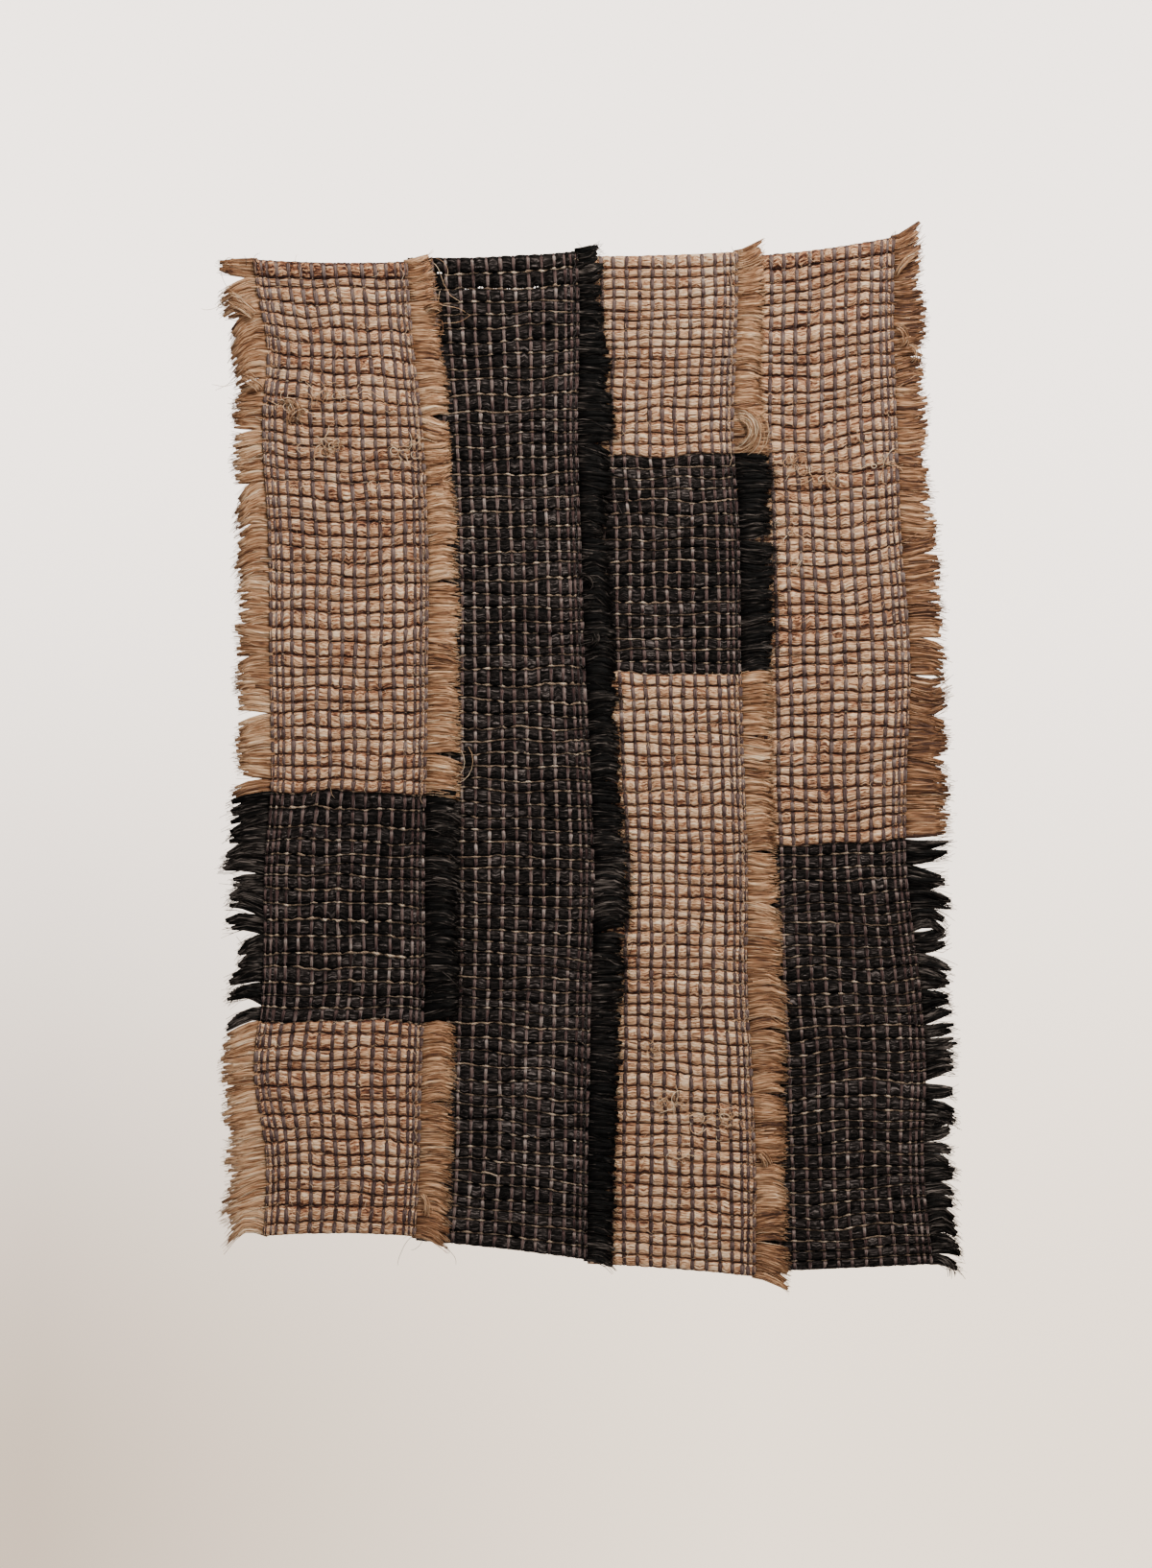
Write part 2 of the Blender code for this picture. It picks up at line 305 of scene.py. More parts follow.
def linear(hex_colour):
    """An sRGB hex colour as the linear values that a shader takes."""
    values = [int(hex_colour[start:start + 2], 16) / 255 for start in (1, 3, 5)]
    return (*[v / 12.92 if v <= 0.04045 else ((v + 0.055) / 1.055) ** 2.4 for v in values], 1.0)


def add_node(tree, kind, sockets=None, stops=(), **settings):
    """Add a node with its settings, its named sockets set or linked, and a ramp's colours."""
    node = tree.nodes.new(kind)
    for name, value in settings.items():
        setattr(node, name, value)
    for socket, value in (sockets or {}).items():
        if isinstance(value, bpy.types.NodeSocket):
            tree.links.new(value, node.inputs[socket])
        else:
            node.inputs[socket].default_value = value
    if stops:
        elements = node.color_ramp.elements
        while len(elements) < len(stops):
            elements.new(0.5)
        for element, (place, colour) in zip(elements, stops):
            element.position = place
            element.color = linear(colour)
    return node


def weigh(tree, parts):
    """Add up values that lie about 0.5, each by its own weight, to one that lies about 0.5."""
    total = 0.5 - sum(weight for value, weight in parts) / 2
    for value, weight in parts:
        step = add_node(tree, "ShaderNodeMath", {0: value, 1: weight, 2: total},
                        operation="MULTIPLY_ADD")
        total = step.outputs["Value"]
    return total


def start_material(name):
    """A new material and its node tree."""
    material = bpy.data.materials.new(name)
    material.use_nodes = True
    return material, material.node_tree


def finish_material(tree, shade, stops, height, relief, finish):
    """Colour a material by its shade, raise its relief by height, and set its shader's finish."""
    shader = tree.nodes["Principled BSDF"]
    ramp = add_node(tree, "ShaderNodeValToRGB", {"Fac": shade}, stops)
    tree.links.new(ramp.outputs["Color"], shader.inputs["Base Color"])
    bump = add_node(tree, "ShaderNodeBump", {"Height": height, "Distance": relief * MM,
                                             "Strength": 1.0})
    tree.links.new(bump.outputs["Normal"], shader.inputs["Normal"])
    for socket, value in finish.items():
        shader.inputs[socket].default_value = value


STRAND_SIZE = (12.0, 1.2)            # how far a strand of the bundle runs, and how wide it is
HAIR_SIZE = (9.0, 0.5)   # the same of the fibres in a strand, 0.2 to 0.5 mm
PATCH = 60.0             # a change of shade from one bundle of leaf sheath to the next
# Painted shade: the fibre is darkened down between two bundles, as if in their shadow.
PAINTED_VALLEY_FROM = 0.6        # where that painted shade starts, towards the next bundle
PAINTED_VALLEY_SHADE = 0.65


def make_fibre(name, stops, weights, roughness, gloss, sheen, relief):
    """Retted leaf-sheath fibre: fine straight strands, silky along their length."""
    material, tree = start_material(name)
    grain = add_node(tree, "ShaderNodeAttribute", attribute_name="grain").outputs["Vector"]
    tint = add_node(tree, "ShaderNodeAttribute", attribute_name="tint").outputs["Fac"]
    place = add_node(tree, "ShaderNodeTexCoord").outputs["Object"]
    layers = []
    for length, width in (STRAND_SIZE, HAIR_SIZE):
        scaled = add_node(tree, "ShaderNodeMapping",
                          {"Vector": grain, "Scale": (1 / length, 1 / width, 1 / width)})
        layers.append(add_node(tree, "ShaderNodeTexNoise",
                               {"Vector": scaled.outputs["Vector"], "Scale": 1.0, "Detail": 2,
                                "Roughness": 0.55}).outputs["Fac"])
    strand, hair = layers
    patch = add_node(tree, "ShaderNodeTexNoise",
                     {"Vector": place, "Scale": 1000 / PATCH, "Detail": 2}).outputs["Fac"]
    shade = weigh(tree, list(zip((strand, hair, tint, patch), weights)))
    # Painted shade: darken the fibre down between two bundles.
    painted_valley_mask = add_node(tree, "ShaderNodeAttribute", attribute_name="painted_valley_mask").outputs["Fac"]
    painted_valley_mask = add_node(tree, "ShaderNodeMapRange",
                      {"Value": painted_valley_mask, "From Min": PAINTED_VALLEY_FROM, "To Max": PAINTED_VALLEY_SHADE})
    shade = add_node(tree, "ShaderNodeMath", {0: shade, 1: painted_valley_mask.outputs["Result"]},
                     operation="SUBTRACT").outputs["Value"]
    finish_material(tree, shade, stops, weigh(tree, [(strand, 1.0), (hair, 0.5)]), relief,
                    {"Roughness": roughness, "Specular IOR Level": gloss,
                     "Sheen Weight": sheen, "Sheen Roughness": 0.4})
    return material


# Undyed fibre is a warm grey-brown with an uneven grain; its pale glints are painted highlights, and
# its darkness down between its strands is painted shade.
natural_fibre = make_fibre(
    "natural_banana_fibre",
    ((0.0, "#331207"), (0.25, "#945e41"), (0.5, "#ca9b74"), (0.75, "#efc297"), (1.0, "#ffe6c4")),
    weights=(2.3, 1.7, 1.0, 0.3), roughness=0.6, gloss=0.25, sheen=0.1, relief=2.0)
# The black dye took unevenly along the strands; the grey glints on them are painted highlights and
# the black depths painted shade.
black_fibre = make_fibre(
    "black_banana_fibre",
    ((0.0, "#000000"), (0.3, "#040303"), (0.5, "#1a1614"), (0.75, "#373130"), (1.0, "#7a716e")),
    weights=(1.9, 1.3, 1.0, 0.4), roughness=0.6, gloss=0.09, sheen=0.0, relief=2.0)

CELL = 8.5               # from warp to warp
PITCH = 8.6              # from weft to weft
COLUMN_WIDTHS = (0.12, 0.43, 0.43, 0.75, 0.95, 1, 1, 1, 1, 1, 1, 1, 0.95, 0.75, 0.43, 0.43, 0.12)
CELLS = len(COLUMN_WIDTHS)
COLUMN_EDGES = np.concatenate(([0], np.cumsum(COLUMN_WIDTHS))) / sum(COLUMN_WIDTHS)
WEFT_SEED = 500
WEFT_SIDES = 8
SQUARENESS = 0.7         # below 1 the bundle's round section turns to a full, soft square
STATION_AT = (0.0, 0.24, 0.5, 0.76)        # where a cell's rings lie
FRONT_WARP = 0           # the ring that a front warp crosses
BACK_WARP = 2            # and the one that a back warp crosses
FRONT_SWELL = (1.0, 2.35, 2.65, 2.35)      # how far each ring swells in front
BACK_SWELL = (2.65, 2.35, 1.0, 2.35)       # and behind
HEM_SWELL = (-0.05, 0.07, 0.1, 0.07)       # the first and last rows' outer sides are lumpy
HEM_SPREAD = (0.4, 1.6)                    # and how unevenly so
OVERLAP = 0.02           # of a row's height, so that no light comes through between two rows
THIN_ROWS = {2: ((0, 2, 7), (1, 3, 12))}   # but under these rows, in these cells, a little does
THIN_GAP = 0.22
SWELL_SPREAD = 0.12      # how unevenly the rings swell
BRICK_SPREAD = 0.27      # and the stretches between two front warps
SHIFT_SPREAD = 0.33      # how unevenly two rows meet
SLANT_SPREAD = 0.8       # how far the strands stray up or down from one warp to the next
TOP_SWELL = 1.2          # the doubled first row is thicker as well as taller
TOP_SHADES = {1: 0.28, 2: 0.05, 3: 0.02, 4: 0.16}       # and darker on some strips
STRIP_SHADE = {1: 0.03, 2: 0.0, 3: 0.09, 4: 0.03}       # one is a little paler than the others
BRICK_SHADE = 0.045      # how far the shade varies from one swelling to the next
ROW_SHADE = 0.035
UNDER_WARP_PAINTED_SHADE = 0.2         # painted shade: how much darker the fibre is close under a warp, as if in its shadow
UPPER_PAINTED_VALLEY = 0.93      # the painted shade is weaker on its upper side, which lies more in the light than its foot
CORNER_PAINTED_SHADE = 1.15            # and the painted shade is deeper down its sides under a warp
GRAIN_RUN = 900.0        # each row starts somewhere in this length of the fibre's grain
GRAIN_STEP = 40.0        # and lies this far from the next row across it


def column_u(cell):
    """u across a strip, from a place in cells from its left edge."""
    return np.interp(cell, np.arange(CELLS + 1), COLUMN_EDGES)


def weave_weft(strip):
    """All the weft bundles of one strip, laid as straight tubes, shaped and then hung."""
    black = ROWS[strip][1]
    rows = len(black)
    rings = len(STATION_AT)
    rng = np.random.default_rng(WEFT_SEED + strip)
    weft = lay_tube(f"weft_{strip}", WEFT_SIDES, THICKNESS / 2, CELLS * CELL, (CELLS, rings), 0)
    weft.data.transform(Matrix.Translation((0, 0, -PITCH / 2 * MM)))
    repeat(weft, rows, (0, 0, -PITCH))

    points = places(weft.data.vertices, "co")
    face_row = np.floor(-places(weft.data.polygons, "center")[:, 2] / PITCH).astype(int)
    row = np.floor(-points[:, 2] / PITCH).astype(int)
    station = np.rint(points[:, 0] / CELL * rings).astype(int)
    phase = station % rings
    cell = station // rings + np.array(STATION_AT)[phase]
    front = -points[:, 1] / (THICKNESS / 2)
    up = (points[:, 2] + (row + 0.5) * PITCH) / (THICKNESS / 2)
    front = np.sign(front) * np.abs(front) ** SQUARENESS
    up = np.sign(up) * np.abs(up) ** SQUARENESS

    stations = CELLS * rings + 1
    at = np.arange(stations) / rings
    ring = np.arange(stations) % rings
    uneven = rng.normal(0, SWELL_SPREAD, (2, rows, stations))
    bulge = np.repeat(rng.normal(0, BRICK_SPREAD, (rows, CELLS)), rings, axis=1)
    bulge = np.concatenate((bulge, bulge[:, -1:]), axis=1)
    uneven += np.where(ring == FRONT_WARP, 0, bulge)
    swell = np.where(front > 0, np.array(FRONT_SWELL)[phase] + uneven[0, row, station],
                     np.array(BACK_SWELL)[phase] + uneven[1, row, station])
    swell *= np.where(row == 0, TOP_SWELL, 1)
    meets = np.arange(rows + 1)[:, None] + rng.normal(0, SHIFT_SPREAD / PITCH, (rows + 1, stations))
    hem = np.array(HEM_SWELL)[ring] * rng.uniform(*HEM_SPREAD, (2, stations))
    meets[0], meets[-1] = -hem[0], rows + hem[1]
    top, foot = meets[:-1] - OVERLAP, meets[1:] + OVERLAP
    for thin, first, last in THIN_ROWS.get(strip, ()):
        between = (ring == BACK_WARP) & (at > first) & (at < last)
        foot[thin] -= THIN_GAP * between * rng.uniform(0, 1, stations)
    top, foot = top[row, station], foot[row, station]
    rows_down = (top + foot) / 2 - up * (foot - top) / 2
    set_points(weft, hang(strip, column_u(cell), rows_down, front * swell))

    centre = np.arange(CELLS) + 0.5
    slants = np.array([np.interp(at, centre, rng.normal(0, SLANT_SPREAD, CELLS))
                       for _ in range(rows)])
    run = rng.uniform(0, GRAIN_RUN, rows)
    grain = np.stack((cell * CELL + run[row], up * PITCH / 2 + slants[row, station],
                      front * swell + row * GRAIN_STEP), axis=1)
    brick = rng.normal(0.5, BRICK_SHADE, (rows, CELLS)) + rng.normal(0, ROW_SHADE, (rows, 1))
    tint = brick[row, np.clip(np.floor(cell), 0, CELLS - 1).astype(int)]
    # Painted shade on the fibre close under a front warp.
    tint = tint - np.where(phase == FRONT_WARP, UNDER_WARP_PAINTED_SHADE, 0)
    tint = tint - np.where(row == 0, TOP_SHADES[strip], 0)
    tint = tint + np.where(black[row], 0, STRIP_SHADE[strip])
    # Painted shade down between two bundles: weaker on the lit upper side, deeper beside a front
    # warp.
    painted_valley_mask = np.abs(up) * np.where(up > 0, UPPER_PAINTED_VALLEY, 1)
    painted_valley_mask = painted_valley_mask * np.where(phase == FRONT_WARP, CORNER_PAINTED_SHADE, 1)
    mark(weft, grain, tint, painted_valley_mask)
    dress(weft, (natural_fibre, black_fibre), black[face_row])
    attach(weft, "root")
    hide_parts(f"strip_{strip}")
    return weft


wefts = {strip: weave_weft(strip) for strip in ENDS}


# The warps: doubled, lightly twisted yarns of dull purple-brown cotton, set about 8.5 mm apart.
# One set always crosses the wefts in front, and between each two of them one crosses behind.
WARP_SEED = 600
WARP_WIDTH = 1.0
WARP_SIDES = {1: 5, -1: 3}           # of a yarn of the set in front and of the one behind
WARP_AT = {1: (0.0, 0.24, 0.76), -1: (0.0, 0.5)}        # where a row's rings lie
WARP_OUT = {1: (0.1, 2.1, 2.0), -1: (0.25, 1.9)}        # how far out from the middle layer
WARP_HALF = {1: (0.9, 1.6, 1.45), -1: (0.7, 1.2)}       # and their half widths
WARP_DEPTH = 0.55
WARP_STRAY = 0.16        # how far a ring strays
WARP_SPREAD = 0.6        # and how much its width goes with that
PULLED_WARP = 0.78       # how much narrower a warp is drawn over the harder black bundles
EDGE_WARPS = 3           # this many warps at each selvedge keep their brown over black fibre too
PLY_PITCH = 5.0          # one turn of the two plies
WARP_ON_BLACK = {1: 0.3, 2: 0.38, 3: 0.34, 4: 0.24}     # its shade over each strip's black
WARP_ON_NATURAL = (0.31, 0.46)           # over undyed fibre, foot to top: the paler top is painted light
WARP_AT_EDGE = 0.26      # and over black fibre close to a selvedge
WARP_PAINTED_GLINT = {1: (-0.35, 0.1, 0.0), -1: (-0.2, 0.05)}   # each ring's painted glint and shade
PAINTED_GLINT_ON_BLACK = 1.6     # how much stronger that painted light is over black fibre
WARP_SHADES = (0.17, 0.09)           # how uneven its shade is over black and over undyed fibre
WARP_STEP = 30.0         # how far one yarn lies from the next in its grain
YARN_ACROSS = 1.2        # how fast the ridges of its plies change across it
WOOL = 1.4               # how fine its hairs are


def make_yarn(name, stops, roughness, pitch, relief):
    """Plied yarn: slanting ridges at the ply's pitch, and a matt, slightly hairy surface."""
    material, tree = start_material(name)
    grain = add_node(tree, "ShaderNodeAttribute", attribute_name="grain").outputs["Vector"]
    tint = add_node(tree, "ShaderNodeAttribute", attribute_name="tint").outputs["Fac"]
    scaled = add_node(tree, "ShaderNodeMapping",
                      {"Vector": grain, "Scale": (1 / pitch, YARN_ACROSS, YARN_ACROSS)})
    ply = add_node(tree, "ShaderNodeTexWave", {"Vector": scaled.outputs["Vector"], "Scale": 0.5,
                                               "Distortion": 2.0, "Detail": 2},
                   bands_direction="DIAGONAL").outputs["Fac"]
    wool = add_node(tree, "ShaderNodeTexNoise", {"Vector": grain, "Scale": WOOL, "Detail": 3}
                    ).outputs["Fac"]
    shade = weigh(tree, [(ply, 0.2), (wool, 0.6), (tint, 1.0)])
    finish_material(tree, shade, stops, weigh(tree, [(ply, 0.6), (wool, 0.5)]), relief,
                    {"Roughness": roughness, "Specular IOR Level": 0.2,
                     "Sheen Weight": 0.1, "Sheen Roughness": 0.5})
    return material


# Spun cotton, dull and hairy. It is darker against the undyed fibre, paler against the black.
warp_yarn = make_yarn(
    "purple_brown_cotton_warp",
    ((0.1, "#281918"), (0.3, "#4f3a38"), (0.6, "#776661"), (0.9, "#a79a93")),
    roughness=0.85, pitch=PLY_PITCH, relief=0.4)


def weave_warps(strip, name, cells, way):
    """One set of warps of a strip. way is 1 for the front set and -1 for the one behind."""
    black = ROWS[strip][1]
    rows = len(black)
    rng = np.random.default_rng(WARP_SEED + strip * 2 + (way > 0))
    rings = len(WARP_AT[way])
    warps = lay_tube(name, WARP_SIDES[way], WARP_WIDTH, rows * PITCH, (rows, rings), 2)
    repeat(warps, len(cells), (CELL, 0, 0))
    points = places(warps.data.vertices, "co")
    number = np.rint(points[:, 0] / CELL).astype(int)
    station = np.rint(-points[:, 2] / PITCH * rings).astype(int)
    row, phase = station // rings, station % rings
    side = (points[:, 0] - number * CELL) / WARP_WIDTH
    front = -points[:, 1] / WARP_WIDTH * way
    stations = rows * rings + 1
    stray = rng.normal(0, WARP_STRAY, (2, len(cells), stations))
    out = np.array(WARP_OUT[way])[phase] + stray[0, number, station]
    out = np.where((station == 0) | (station == stations - 1), 0.0, out)
    on_black = black[np.minimum(row, rows - 1)]
    half = np.array(WARP_HALF[way])[phase] * (1 + WARP_SPREAD * stray[1, number, station])
    half = half * np.where(on_black, PULLED_WARP, 1)
    u = column_u(cells[number] + stray[1, number, station] / CELL)
    rows_down = row + np.array(WARP_AT[way])[phase]
    place = hang(strip, u, rows_down, way * (out + front * WARP_DEPTH))
    place[:, 0] += side * half
    set_points(warps, place)
    grain = np.stack((-points[:, 2], side * half, front + number * WARP_STEP), axis=1)
    from_edge = np.minimum(cells, CELLS - cells)[number]
    inner = on_black & (from_edge > EDGE_WARPS)
    # Over undyed fibre the warp is paler towards the top: painted light, raking from above.
    on_natural = np.interp(place[:, 2], (-DROP, 0), WARP_ON_NATURAL)
    tint = np.where(inner, WARP_ON_BLACK[strip], np.where(on_black, WARP_AT_EDGE, on_natural))
    uneven = rng.normal(0, 1, (len(cells), stations))[number, station]
    tint = tint + uneven * np.where(on_black, *WARP_SHADES)
    # Painted glints where a warp crosses a bundle, painted shade where it dives between two rows.
    tint = tint + np.array(WARP_PAINTED_GLINT[way])[phase] * np.where(on_black, PAINTED_GLINT_ON_BLACK, 1)
    mark(warps, grain, tint)
    return warps


for strip in ENDS:
    warp = join([weave_warps(strip, f"warp_{strip}", np.arange(1, CELLS), 1),
                 weave_warps(strip, f"warp_back_{strip}", np.arange(1, CELLS - 1) + 0.5, -1)])
    dress(warp, (warp_yarn,))
    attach(warp, "root")


# The binding wefts: a thin tan thread thrown after each thick bundle. It passes over the front
# warps and under the back ones, locks the bundle in, and shows as short dashes in the valleys.
BINDING_SEED = 700
BINDING_SIDES = 3
BINDING_RADIUS = 0.38
THICK_ON_BLACK = 1.8     # it shows thicker between two black bundles
THICK_BY_WARP = (1.25, 0.8)          # and over a front warp, but not between two of them
BINDING_FRONT = 0.95     # how far out it lies over a front warp
BINDING_BACK = -1.2      # and between two of them, in a row where it doesn't show
BINDING_SHOW = 2.3       # how much further forward it stays in a row where it shows all along
SHOW_ON_BLACK = (0.65, 1.05)         # the share of that between black bundles
SHOW_POWER = 3           # between undyed ones the share is mostly low: an even draw to this power
BINDING_STRAY = 0.15     # how far it strays in or out
BINDING_SHIFT = 0.5      # and up or down
BINDING_SHADES = (0.0, 0.5)
CROSSING_PAINTED_HIGHLIGHT = 0.22    # painted highlight: how much paler it is over a front warp, where it stands forward
PALE_ON_BLACK = 0.17     # and between black bundles
BINDING_STEP = 50.0      # how far one row's thread lies from the next in its grain
binding_thread = make_yarn(
    "tan_binding_thread",
    ((0.15, "#43332a"), (0.45, "#75614f"), (0.7, "#a28d77"), (0.9, "#cfbda8")),
    roughness=0.7, pitch=1.6, relief=0.2)


def weave_binding(strip):
    """The thin thread between each two thick bundles of a strip."""
    black = ROWS[strip][1]
    rows = len(black)
    rng = np.random.default_rng(BINDING_SEED + strip)
    binding = lay_tube(f"binding_{strip}", BINDING_SIDES, BINDING_RADIUS, CELLS * CELL,
                       (CELLS, 2), 0)
    repeat(binding, rows - 1, (0, 0, -PITCH))
    points = places(binding.data.vertices, "co")
    row = np.rint(-points[:, 2] / PITCH).astype(int)
    station = np.rint(points[:, 0] / CELL * 2).astype(int)
    each = (rows, CELLS * 2 + 1)
    shows = np.where(black, rng.uniform(*SHOW_ON_BLACK, rows), rng.uniform(0, 1, rows) ** SHOW_POWER)
    shows = shows * BINDING_SHOW
    crosses = station % 2 == 0
    thick = np.where(black, THICK_ON_BLACK, 1)[row] * np.where(crosses, *THICK_BY_WARP)
    out = np.where(crosses, BINDING_FRONT, BINDING_BACK + shows[row])
    out = out - points[:, 1] * thick + rng.normal(0, BINDING_STRAY, each)[row, station]
    shift = rng.normal(0, BINDING_SHIFT, each)
    local = ((points[:, 2] + row * PITCH) * thick - shift[row, station]) / PITCH
    set_points(binding, hang(strip, column_u(station / 2), row + 1 - local, out))
    grain = np.stack((points[:, 0] + row * BINDING_STEP, points[:, 1], local * PITCH), axis=1)
    # A painted highlight where the thread crosses a front warp.
    shade = rng.uniform(*BINDING_SHADES, each)[row, station] + np.where(crosses, CROSSING_PAINTED_HIGHLIGHT, 0)
    mark(binding, grain, shade + np.where(black[row], PALE_ON_BLACK, 0))
    dress(binding, (binding_thread,))
    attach(binding, "root")


for strip in ENDS:
    weave_binding(strip)


# The fringes: the wefts' own ends, cut about 20 mm past each selvedge. Right fringes lie over the
# next strip and left ones behind the strip before. On the outer sides the black ones clump.
FRINGE_SEED = 800
LAYER_GAP = 0.5          # between a strip's front and the fringe that lies over it
ROOT_THICKNESS = 2.9
HIDDEN_ROOT = 2.4        # the same of a fringe behind the strip before
OPEN_LIFT = 0.6          # how far an outer fringe's back stands forward of the cloth's
HIDDEN_REACH = 17.0
HIDDEN_INSET = 5.0       # the hidden ends stay behind the strip before
DROOP = {"fringe_1_left": -11.0}     # how far a fringe turns up from straight out
OTHER_DROOP = -3.0
BUNDLE_TURN = 2.0        # how unevenly a tuft's bundles turn
TOP_FLARE = 30.0         # the right fringes turn up at the top
END_FLARE = -18.0        # and all but the hidden ones turn down at the foot
FLARE_LENGTH = 20.0
REACH_COLUMNS = ("z", "fringe_1_left", "fringe_1_right", "fringe_2_right", "fringe_3_right",
                 "fringe_4_right")
REACHES = (
    (21, 19, 15, 15, 16, 18),
    (-20, 25, 18, 16, 18, 20),
    (-91, 20, 20, 22, 19, 20),
    (-123, 20, 17, 24, 24, 19),
    (-187, 21, 19, 19, 23, 24),
    (-276, 23, 21, 21, 22, 25),
    (-353, 23.5, 23, 21, 20, 29),
    (-404, 23, 24, 24, 20, 26),
    (-494, 21.5, 23, 22, 25, 17),
    (-584, 24, 22, 20, 20, 20),
    (-689, 27, 21, 16, 22, 17),
)
ROOT_INSET = 2.5         # how far inside the selvedge a strand starts
# Each style holds how many bundles a tuft has, how it leans together, a bundle's width at its neck
# and tip, its twist in radians and its turn, its strands and hanks and how full the hanks are, how
# far strands stray and curl, how unevenly they are cut, and how ragged the tufts are.
STYLES = {
    "natural": ((3, 6), 0.1, 1.1, 1.15, 0.4, 3.0, 22, 4, 1.9, 0.9, 1.0, 0.04, 0.25),
    "outer natural": ((3, 5), 0.18, 1.1, 1.35, 0.5, 6.0, 22, 4, 1.9, 1.3, 1.4, 0.05, 0.6),
    "black": ((2, 5), 0.15, 1.1, 1.3, 0.8, 5.0, 20, 3, 1.7, 2.4, 2.4, 0.1, 0.5),
    "outer black": ((1, 2), 0.3, 0.85, 1.1, 1.0, 9.0, 19, 3, 1.6, 1.3, 2.0, 0.07, 1.1),
    "hidden": ((2, 4), 0.2, 1.0, 1.0, 0.8, 4.0, 4, 2, 1.2, 1.0, 0.7, 0.05, 1.0),
}
TUFT_REACH = 0.07        # how unevenly the tufts are cut
TUFT_CROWN = 0.26        # how much further a tuft reaches at its middle than at its sides
CUT_SPREAD = (0.97, 1.02)            # how unevenly its bundles are cut
TUFT_ARC = 1.6           # how far a tuft bows up or down between its root and its tip
ARC_SPREAD = (0.5, 0.9)  # the middle and the spread of how much it does
GATHER_SPREAD = (0.8, 0.7)           # the same of how it leans together
TOP_GATHER = 0.2         # the first tuft hardly does
MOST_GATHER = 0.9
TWIST_SPREAD = (0.6, 1.3)
ROLL_TURN = 4.0          # the first strip's doubled first bundle ends straight out on the left
ROLL_WIDTH = 0.75
FRIZZ_ROWS = 3           # and the ends below it hang down
FRIZZ_TURN = -24.0
LONGEST = 1.2            # a bundle goes on bending up to this share of its reach
BEND_CURVE = 1.6         # above 1 a bundle turns more towards its tip
NECK_AT = 0.15           # a lock is drawn in to its neck this far along
ROOT_WIDTH = 1.05        # from this width
ROOT_SWELL = 2.0         # and from this half thickness
ROOT_BLEND = 5.0         # it comes out of the cloth's middle layer over this length
FLATTENED = 0.6          # how much flatter it gets towards its tip
FLATTEST = 0.2
TIP_LIFT = 0.6
CURL_TURN = 6.0          # how far a curl goes round along a strand, in radians
STRAND_LIFT = 0.15
# A hank lies inside its bundle and is darkened by painted shade, by the amount under darker.
HANK = {"sides": 5, "spans": 3, "lift": 0.2, "flat": 0.6, "darker": 0.12,
        "profile": (1.05, 1.1, 1, 0.5)}
STRAND = {"sides": 3, "spans": 4, "lift": 0.5, "flat": 1.0, "darker": 0,
          "profile": (1, 0.95, 0.9, 0.6)}
PROFILE_AT = (0, 0.3, 0.9, 1)        # where a fibre has the widths of its profile
HANK_LAYER = (0.45, 0.1)             # the middle and the spread of a hank's layer in its bundle
HANK_LENGTH = (0.84, 0.99)
HANK_STRAY = 0.8
STRAND_PLACE = 1.05      # strands lie this many half widths out from a bundle's middle, or nearer
STRAND_LAYER = (0.1, 0.95)
STRAND_HALF = (0.14, 0.3)            # their half widths
WILD_SHARE = 0.06        # the share of strands that stray further
WILD_STRAY = 3
PAINTED_BLACK_GLINT = {"fringe_1_left": 0.22, "fringe_4_right": 0.14}       # outer black fringes get painted glints
NATURAL_SHADE = {        # and undyed ones at the foot and at the top, paler above 0 and darker below
    "fringe_1_left": (0.17, 0.02),
    "fringe_4_right": (-0.16, -0.16),
}
FIBRE_SHADE = 0.12       # how far the shade varies from one fibre to the next
BUNDLE_SHADE = 0.05      # and from one bundle to the next
FIBRE_DEPTH = 1.1        # the most that a hank measures from its middle to its front
FIBRE_STEP = (60.0, 7.0)             # from one fibre to the next in the grain, along and across
cut_fibre = make_fibre(
    "natural_banana_fibre_cut_ends",
    ((0.0, "#3a1f10"), (0.25, "#7d5334"), (0.5, "#b28662"), (0.75, "#d8b088"), (1.0, "#f3dbba")),
    weights=(1.4, 1.4, 1.0, 0.5), roughness=0.6, gloss=0.25, sheen=0.1, relief=1.0)
black_cut_fibre = make_fibre(
    "black_banana_fibre_cut_ends",
    ((0.0, "#000000"), (0.35, "#020202"), (0.5, "#080706"), (0.75, "#2a2522"), (1.0, "#6a625d")),
    weights=(1.9, 1.7, 1.0, 0.8), roughness=0.5, gloss=0.08, sheen=0.0, relief=1.0)


def draw_fibres(name, count, sides, spans, path, radius, flat=1.0):
    """Fibres as thin tubes. path gives x, z and depth, radius the half width, of fibre and share."""
    length, gap, step = 20.0, 4.0, 0.05
    fibres = lay_tube(name, sides, 1.0, length, (spans,), 0)
    repeat(fibres, count, (0, 0, -gap))
    points = places(fibres.data.vertices, "co")
    face_number = np.rint(-places(fibres.data.polygons, "center")[:, 2] / gap).astype(int)
    number = np.rint(-points[:, 2] / gap).astype(int)
    share = np.clip(points[:, 0] / length, 0, 1)
    side = points[:, 2] + number * gap
    front = -points[:, 1]
    x, z, depth = path(number, share)
    before = path(number, np.clip(share - step, 0, 1))
    after = path(number, np.clip(share + step, 0, 1))
    dx, dz = after[0] - before[0], after[1] - before[1]
    span = np.hypot(dx, dz) + 1e-6          # so that it is never 0
    half = radius(number, share)
    thick = np.minimum(half * flat, FIBRE_DEPTH)
    depth = np.maximum(depth, BACK_GAP + thick)
    place = np.stack((x - side * half * dz / span, -(depth + front * thick),
                      z + side * half * dx / span), axis=1)
    set_points(fibres, place)
    grain = np.stack((share * length + number * FIBRE_STEP[0], side * half,
                      front * half + number * FIBRE_STEP[1]), axis=1)
    return fibres, grain, number, face_number


